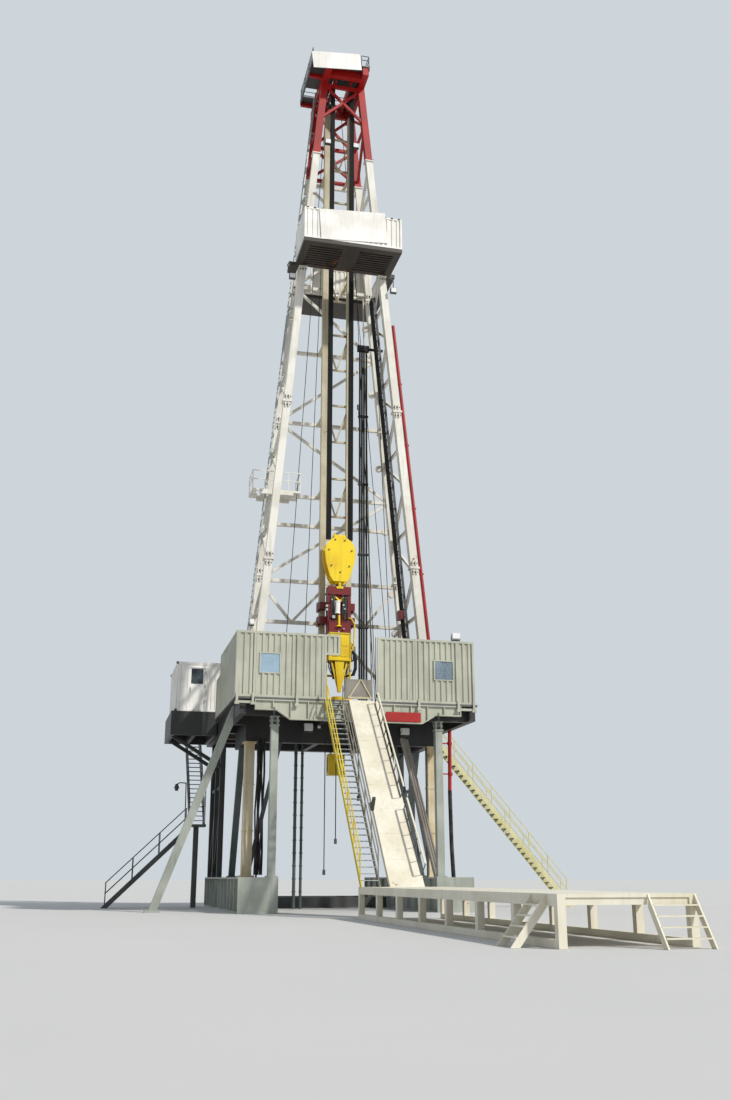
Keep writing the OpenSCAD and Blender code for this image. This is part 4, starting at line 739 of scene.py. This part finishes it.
def wall_lamps():
    """Flood lights on the wind walls' top edge and on the main beam under the floor."""
    housings, faces, brackets = bmesh.new(), bmesh.new(), bmesh.new()
    for x, y, z, w, h in ((2.3, -3.0, 6.24, 0.1, 0.07), (-2.57, -2.98, 6.33, 0.05, 0.06),
                          (-0.875, -1.2, 4.22, 0.105, 0.09), (-0.62, -1.2, 4.24, 0.035, 0.04),
                          (1.54, -1.2, 4.19, 0.105, 0.08)):
        block(housings, (x - w, y - 0.05, z - h), (x + w, y + 0.05, z + h), 0.012)
        block(faces, (x - w * 0.86, y - 0.058, z - h * 0.82), (x + w * 0.86, y - 0.045, z + h * 0.82))
        for side in (-1, 1):
            bar(brackets, (x + side * w * 1.08, y, z), (x + side * w * 1.08, y, z - h * 1.4), 0.008, 0.03)
        bar(brackets, (x - w * 1.08, y, z - h * 1.4), (x + w * 1.08, y, z - h * 1.4), 0.008, 0.03)
    piece("flood_light_housings", housings, WHITE)
    piece("flood_light_faces", faces, LAMP)
    piece("flood_light_brackets", brackets, DARK)


def chain_link(shape, place):
    """A link of round bar, spun as a ring about Z and then set in its place."""
    section = Matrix.Translation((0.02, 0, 0)) @ Matrix.Rotation(pi / 2, 4, "X")
    made = bmesh.ops.create_circle(shape, segments=8, radius=0.0075, matrix=section)["verts"]
    edges = list({e for v in made for e in v.link_edges})
    bmesh.ops.spin(shape, geom=made + edges, cent=(0, 0, 0), axis=(0, 0, 1), dvec=(0, 0, 0), angle=tau,
                   steps=12, use_merge=True, use_duplicate=False)
    ring = [face for face in shape.faces if not face.tag]
    bmesh.ops.transform(shape, verts=list({v for face in ring for v in face.verts}), matrix=place)
    for face in ring:
        face.tag = True
        face.smooth = True


def girder_plate_and_chains():
    """The bare red plate on the front girder and the chains at the front legs' heads."""
    plate, chains = bmesh.new(), bmesh.new()
    block(plate, (0.57, WALL_FACE - 0.018, 4.17), (1.41, WALL_FACE + 0.002, 4.39), 0.006)
    for x, i in product((-2.02, 1.82), range(7)):
        turn = Matrix.Rotation(pi / 2 * (i % 2), 4, "Z") @ Matrix.Rotation(pi / 2, 4, "X")
        chain_link(chains, Matrix.Translation(at(x, WALL_FACE - 0.06, 4.13 + 0.04 * i)) @ turn)
    piece("girder_plate", plate, RED)
    piece("leg_head_chains", chains, DARK)


def floor_riser_and_thin_pipe():
    """The red riser at the right with its hose and its short pipe on the deck, and the mast's thin pipe."""
    pipes, hose, thin = bmesh.new(), bmesh.new(), bmesh.new()
    rod(pipes, (2.66, -1.0, 4.64), (2.66, -1.0, 6.3), 0.03)
    rod(pipes, (2.77, -1.0, 4.62), (2.735, -1.0, 2.8), 0.045)
    for z in (3.2, 3.95):
        bar(pipes, (2.76, -1.0, z), (2.3, -1.0, z), 0.03, 0.03)
        rod(pipes, (2.755, -1.0, z - 0.04), (2.755, -1.0, z + 0.04), 0.06)
    pipe(hose, [(2.735, -1.0, 2.8), (2.75, -1.0, 1.5), (2.8, -1.05, 0.06)], 0.05)
    pipe(thin, [(0.885, 0.5, 16.94), (0.979, 0.5, 13.13), (1.087, 0.5, 7.9), (1.15, 0.5, 4.64)], 0.02)
    piece("floor_riser_hose", hose, RUBBER)
    piece("mast_thin_pipe", thin, BEIGE)
    piece("floor_riser", pipes, RED)


def tugger_winches():
    """The two small winches on the deck."""
    winches, drums = bmesh.new(), bmesh.new()
    for x in (1.6, -1.35):
        block(winches, (x - 0.18, 0.02, DECK + 0.001), (x + 0.18, 0.3, 4.7), 0.01)
        for side in (-1, 1):
            block(winches, (x + side * 0.16 - 0.015, 0.04, 4.69), (x + side * 0.16 + 0.015, 0.28, 4.95), 0.01)
        rod(drums, (x - 0.15, 0.16, 4.83), (x + 0.15, 0.16, 4.83), 0.08, sides=24)
    piece("tugger_frames", winches, YELLOW)
    piece("tugger_drums", drums, ROPE)


# Doghouse

CABIN_LOW, CABIN_HIGH = (-3.88, 1.38, 4.865), (-2.66, 3.4, 6.165)


def cabin_fittings():
    """The cabin's corner posts and castings, its rails, its pressed ribs, and the door's furniture."""
    frame_bars, castings, ribs, door, hinges, pane = (bmesh.new() for _ in range(6))
    (x0, y0, z0), (x1, y1, z1) = CABIN_LOW, CABIN_HIGH
    for x in (x0, x1):
        for y in (y0, y1):
            block(frame_bars, (x - 0.012, y - 0.012, z0 + 0.06), (x + 0.012, y + 0.012, z1 - 0.06), 0.004)
            for z in (z0 + 0.03, z1 - 0.03):
                block(castings, (x - 0.03, y - 0.03, z - 0.03), (x + 0.03, y + 0.03, z + 0.03), 0.006)
    for z in (z0 + 0.03, z1 - 0.045):
        for y in (y0, y1):
            block(frame_bars, (x0 + 0.03, y - 0.012, z - 0.025), (x1 - 0.03, y + 0.012, z + 0.025), 0.004)
        for x in (x0, x1):
            block(frame_bars, (x - 0.012, y0 + 0.03, z - 0.025), (x + 0.012, y1 - 0.03, z + 0.025), 0.004)
    for x in (-3.8, -3.7, -3.06, -2.96, -2.86, -2.76):
        block(ribs, (x - 0.018, y0 - 0.014, z0 + 0.07), (x + 0.018, y0 + 0.002, z1 - 0.09), 0.005)
    for i in range(14):
        y = y0 + 0.1 + i * 0.14
        for x, out in ((x0, -0.014), (x1, 0.014)):
            block(ribs, (min(x, x + out), y - 0.02, z0 + 0.07), (max(x, x + out), y + 0.02, z1 - 0.09), 0.005)
    for i in range(8):
        x = x0 + 0.12 + i * 0.14
        block(ribs, (x - 0.02, y1 - 0.002, z0 + 0.07), (x + 0.02, y1 + 0.014, z1 - 0.09), 0.005)
    for low, high in (((-3.6, z0 + 0.03), (-3.575, z0 + 1.15)), ((-3.145, z0 + 0.03), (-3.12, z0 + 1.15)),
                      ((-3.6, z0 + 1.15), (-3.12, z0 + 1.175))):
        block(door, (low[0], y0 - 0.016, low[1]), (high[0], y0 + 0.004, high[1]), 0.003)
    rod(hinges, (-3.52, y0 - 0.02, 5.36), (-3.52, y0 - 0.02, 5.5), 0.01, sides=10)
    for z in (5.1, 5.5, 5.85):
        rod(hinges, (-3.14, y0 - 0.012, z), (-3.14, y0 - 0.012, z + 0.07), 0.014, sides=10)
    piece("cabin_frame", frame_bars, WHITE)
    piece("cabin_castings", castings, DARK)
    piece("cabin_ribs", ribs, WHITE)
    piece("cabin_door_frame", door, WHITE)
    piece("cabin_door_hinges", hinges, ZINC)
    block(pane, (-3.52, y0 + 0.006, 5.6), (-3.2, y0 + 0.016, 5.99))
    piece("cabin_door_pane", pane, GLASS)


# Stairs

LANDING_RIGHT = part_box("left_stair_treads")[1].x - DATUM.x


def stair_nosings():
    """Worn pale nosings along the front of the treads beside the ramp."""
    nosings = bmesh.new()
    steps = 33
    for i in range(1, steps):
        y, z = RAMP_FOOT_Y + i * RAMP_RUN / steps - 0.015, RAMP_FOOT_Z + i * RAMP_RISE / steps
        block(nosings, (-0.828, y - 0.004, z - 0.014), (-0.497, y + 0.016, z + 0.003))
    piece("ramp_stair_nosings", nosings, ZINC)


def landing_fittings():
    """The left landing's handrails, the grab hoop beside its upper flight, and its lamp on a post."""
    rails, lamp = bmesh.new(), bmesh.new()
    right = LANDING_RIGHT - 0.02
    for z in (2.34, 2.59):
        pipe(rails, [(right, 2.33, z), (right, 2.77, z)], 0.011, sides=8)
    for y in (2.33, 2.77):
        rod(rails, (right, y, 2.07), (right, y, 2.6), 0.012, sides=8)
    pipe(rails, [(right, 2.33, 2.59), (right, 2.33, 3.12), (right + 0.03, 2.33, 3.3),
                 (right + 0.1, 2.33, 3.4), (right + 0.17, 2.33, 3.32), (right + 0.14, 2.33, 3.2)], 0.012,
         sides=8)
    pipe(rails, [(-3.42, 2.33, 2.07), (-3.44, 2.33, 3.12), (-3.6, 2.33, 3.13), (-3.68, 2.33, 3.08)], 0.014,
         sides=8)
    rod(lamp, (-3.68, 2.33, 3.1), (-3.68, 2.33, 2.98), 0.03, tip=0.075)
    rod(lamp, (-3.68, 2.33, 2.98), (-3.68, 2.33, 2.92), 0.045)
    piece("landing_handrails", rails, DARK)
    piece("landing_lamp", lamp, DARK)


# Ramp and catwalk


def ramp_fittings():
    """The ramp's weld seams and the pipe stop on its left edge."""
    seams, stop = bmesh.new(), bmesh.new()
    bays = 8
    for i in range(1, bays):
        y, z = RAMP_FOOT_Y + i * RAMP_RUN / bays, RAMP_FOOT_Z + i * RAMP_RISE / bays + 0.001
        bar(seams, (-0.29, y, z), (0.26, y, z), 0.008, 0.008)
    bar(stop, (-0.31, -5.2, 2.06), (-0.36, -5.55, 2.28), 0.07, 0.05, 0.008)
    bar(stop, (-0.31, -5.2, 2.06), (-0.3, -5.0, 2.2), 0.05, 0.05, 0.008)
    piece("ramp_weld_seams", seams, RAMP)
    piece("ramp_pipe_stop", stop, DARK)


def ramp_guard():
    """The guard on the ramp's right side, in two lengths: a low foot bar and rungs, drawn dark as painted
    shade on their cream faces, and a broad top rail.
    """
    rail, rungs = bmesh.new(), bmesh.new()

    def beside_ramp(down, out, up):
        """A point this share of the way down the ramp, out from it and up."""
        return 0.3 + 0.09 * down, WALL_FACE - RAMP_RUN * down - out, DECK - RAMP_RISE * down + up

    def foot(down):
        return beside_ramp(down, 0, 0.02)

    def head(down):
        return beside_ramp(down, 0.24, 0.22)

    for start, end, count in ((0.02, 0.57, 9), (0.63, 0.95, 6)):
        bar(rail, head(end), head(start), 0.035, 0.03, 0.006)
        bar(rungs, foot(end), foot(start), 0.022, 0.022)
        for i in range(count):
            down = start + (end - start) * i / (count - 1)
            bar(rungs, foot(down), head(down), 0.016, 0.016)
    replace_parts(piece("ramp_guard_top_rail", rail, RAMP), "pipe_ramp_rail")
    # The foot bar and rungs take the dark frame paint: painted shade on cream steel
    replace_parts(piece("ramp_guard_rungs", rungs, DARK), "pipe_ramp_rail")


def ramp_gate():
    """The low gate across the ramp's opening: a worn sheet on two feet with an inverted V of angles."""
    sheet, angles = bmesh.new(), bmesh.new()
    block(sheet, (-0.37, -2.97, 4.665), (0.26, -2.955, 5.115), 0.003)
    for x in (-0.07, 0.06):
        block(sheet, (x, -2.97, DECK + 0.001), (x + 0.04, -2.955, 4.67))
    for x in (-0.29, 0.245):
        bar(angles, (x, -2.98, 4.68), (-0.01, -2.98, 5.12), 0.02, 0.028)
    block(angles, (-0.32, -2.995, 4.665), (0.26, -2.97, 4.71), 0.004)
    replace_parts(piece("ramp_gate_sheet", sheet, GATE), "v_door_gate")
    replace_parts(piece("ramp_gate_angles", angles, BEIGE), "v_door_gate")


# Substructure


def cellar_gear():
    """Guide posts, standing and slanting pipes, hoses and hanging cables under the floor."""
    guides, cables, pipes, slanting = (bmesh.new() for _ in range(4))
    for x in (-2.06, 2.06):
        rod(guides, (x, -1.25, 0.75), (x, -1.25, 3.85), 0.022)
    for x, low in ((-0.47, 0.9), (-0.2, 1.6), (0.35, 2.6)):
        rod(cables, (x, -1.25, low), (x, -1.25, 3.85), 0.012, sides=8)
        block(guides, (x - 0.03, -1.28, low - 0.1), (x + 0.03, -1.22, low + 0.02), 0.006)
    hoses = ((-2.12, 0.02), (-2.08, -0.015), (-2.03, 0.025), (-1.99, -0.02), (-1.95, 0.015))
    for i, (x, bend) in enumerate(hoses):
        y = -1.35 + 0.05 * (i % 3)
        pipe(cables, [(x, y, 3.9), (x + bend, y, 3.1), (x - bend, y, 2.2), (x + bend * 0.5, y, 1.3),
                      (x, y, 0.8)], 0.02 + 0.005 * (i % 3), sides=8)
    for i, x in enumerate((-0.95, -0.787)):
        rod(pipes, (x, 0.0, 0.02), (x, 0.0, 3.95), 0.04 - 0.006 * i)
        for clamp in range(12):
            rod(pipes, (x, 0.0, 0.4 + clamp * 0.3), (x, 0.0, 0.43 + clamp * 0.3), 0.05 - 0.006 * i)
    for i, x in enumerate((1.28, 1.38, 1.48)):
        y = -1.8 + 0.12 * i
        rod(slanting, (x, y, 3.95), (x + 0.8, y, 0.78), 0.042 - 0.006 * i)
    piece("cellar_slanting_pipes", slanting, GATE)
    piece("cellar_guide_posts", guides, DARK)
    piece("cellar_cables", cables, RUBBER)
    piece("cellar_standing_pipes", pipes, BRACE)


for add_pieces in (leg_joint_ears, gusset_plates, cable_tray, hanging_ropes, outer_rows_of_lines,
                   whip_post_and_lamps, wall_clamps, crown_walkway, board_walls, ramp_guard, ramp_gate,
                   block_fittings, top_drive_fittings, handler_fittings, link_fittings, service_hoses,
                   wall_fittings, wall_lamps, girder_plate_and_chains, floor_riser_and_thin_pipe,
                   tugger_winches, cabin_fittings, stair_nosings, landing_fittings, ramp_fittings,
                   cellar_gear):
    add_pieces()


# Stage: a pale floor, the sun through thin haze, and the sky


def pale_floor():
    """The plain floor, with clouds of tone 10 m across that keep it from looking flat."""
    plan = bmesh.new()
    bmesh.ops.create_grid(plan, x_segments=1, y_segments=1, size=400)
    bmesh.ops.translate(plan, verts=plan.verts, vec=(0, 0, -0.002))
    mesh = bpy.data.meshes.new("floor")
    plan.to_mesh(mesh)
    plan.free()
    floor = bpy.data.objects.new("floor", mesh)
    bpy.context.scene.collection.objects.link(floor)
    material, tree, shader = new_finish("floor_pale")
    shader.inputs["Roughness"].default_value = 0.9
    place = add_node(tree, "ShaderNodeTexCoord").outputs["Object"]
    clouds = add_node(tree, "ShaderNodeTexNoise", {"Scale": per_metre(10000), "Detail": 3}, {"Vector": place})
    colour = add_node(tree, "ShaderNodeMix", {6: linear("#C9C9C6"), 7: linear("#D2D1CE")},
                      {0: clouds.outputs["Fac"]}, data_type="RGBA")
    tree.links.new(colour.outputs[2], shader.inputs["Base Color"])
    mesh.materials.append(material)


def sun_and_sky():
    """The sun in front on the right, 39 degrees up, and a sky that is seen brighter than it lights."""
    sun_data = bpy.data.lights.new("sun", "SUN")
    sun_data.energy = 3.1
    sun_data.angle = radians(3)
    sun_data.color = (1.0, 0.97, 0.92)
    sun = bpy.data.objects.new("sun", sun_data)
    sun.rotation_euler = (radians(51), 0, radians(39))
    bpy.context.scene.collection.objects.link(sun)

    world = bpy.data.worlds.new("sky")
    world.use_nodes = True
    tree = world.node_tree
    light = tree.nodes["Background"]
    light.inputs["Color"].default_value = (0.82, 0.89, 1.0, 1)
    light.inputs["Strength"].default_value = 0.5
    seen = add_node(tree, "ShaderNodeBackground", {"Color": linear("#CDD5DB"), "Strength": 1})
    ray = add_node(tree, "ShaderNodeLightPath")
    direct = add_node(tree, "ShaderNodeMath", {},
                      {0: ray.outputs["Is Camera Ray"], 1: ray.outputs["Is Glossy Ray"]}, operation="MAXIMUM")
    either = add_node(tree, "ShaderNodeMath", {},
                      {0: direct.outputs[0], 1: ray.outputs["Is Transmission Ray"]}, operation="MAXIMUM")
    both = add_node(tree, "ShaderNodeMixShader", {},
                    {0: either.outputs[0], 1: light.outputs[0], 2: seen.outputs[0]})
    tree.links.new(both.outputs[0], tree.nodes["World Output"].inputs["Surface"])
    bpy.context.scene.world = world


pale_floor()
sun_and_sky()
bpy.context.scene.view_settings.view_transform = "Standard"
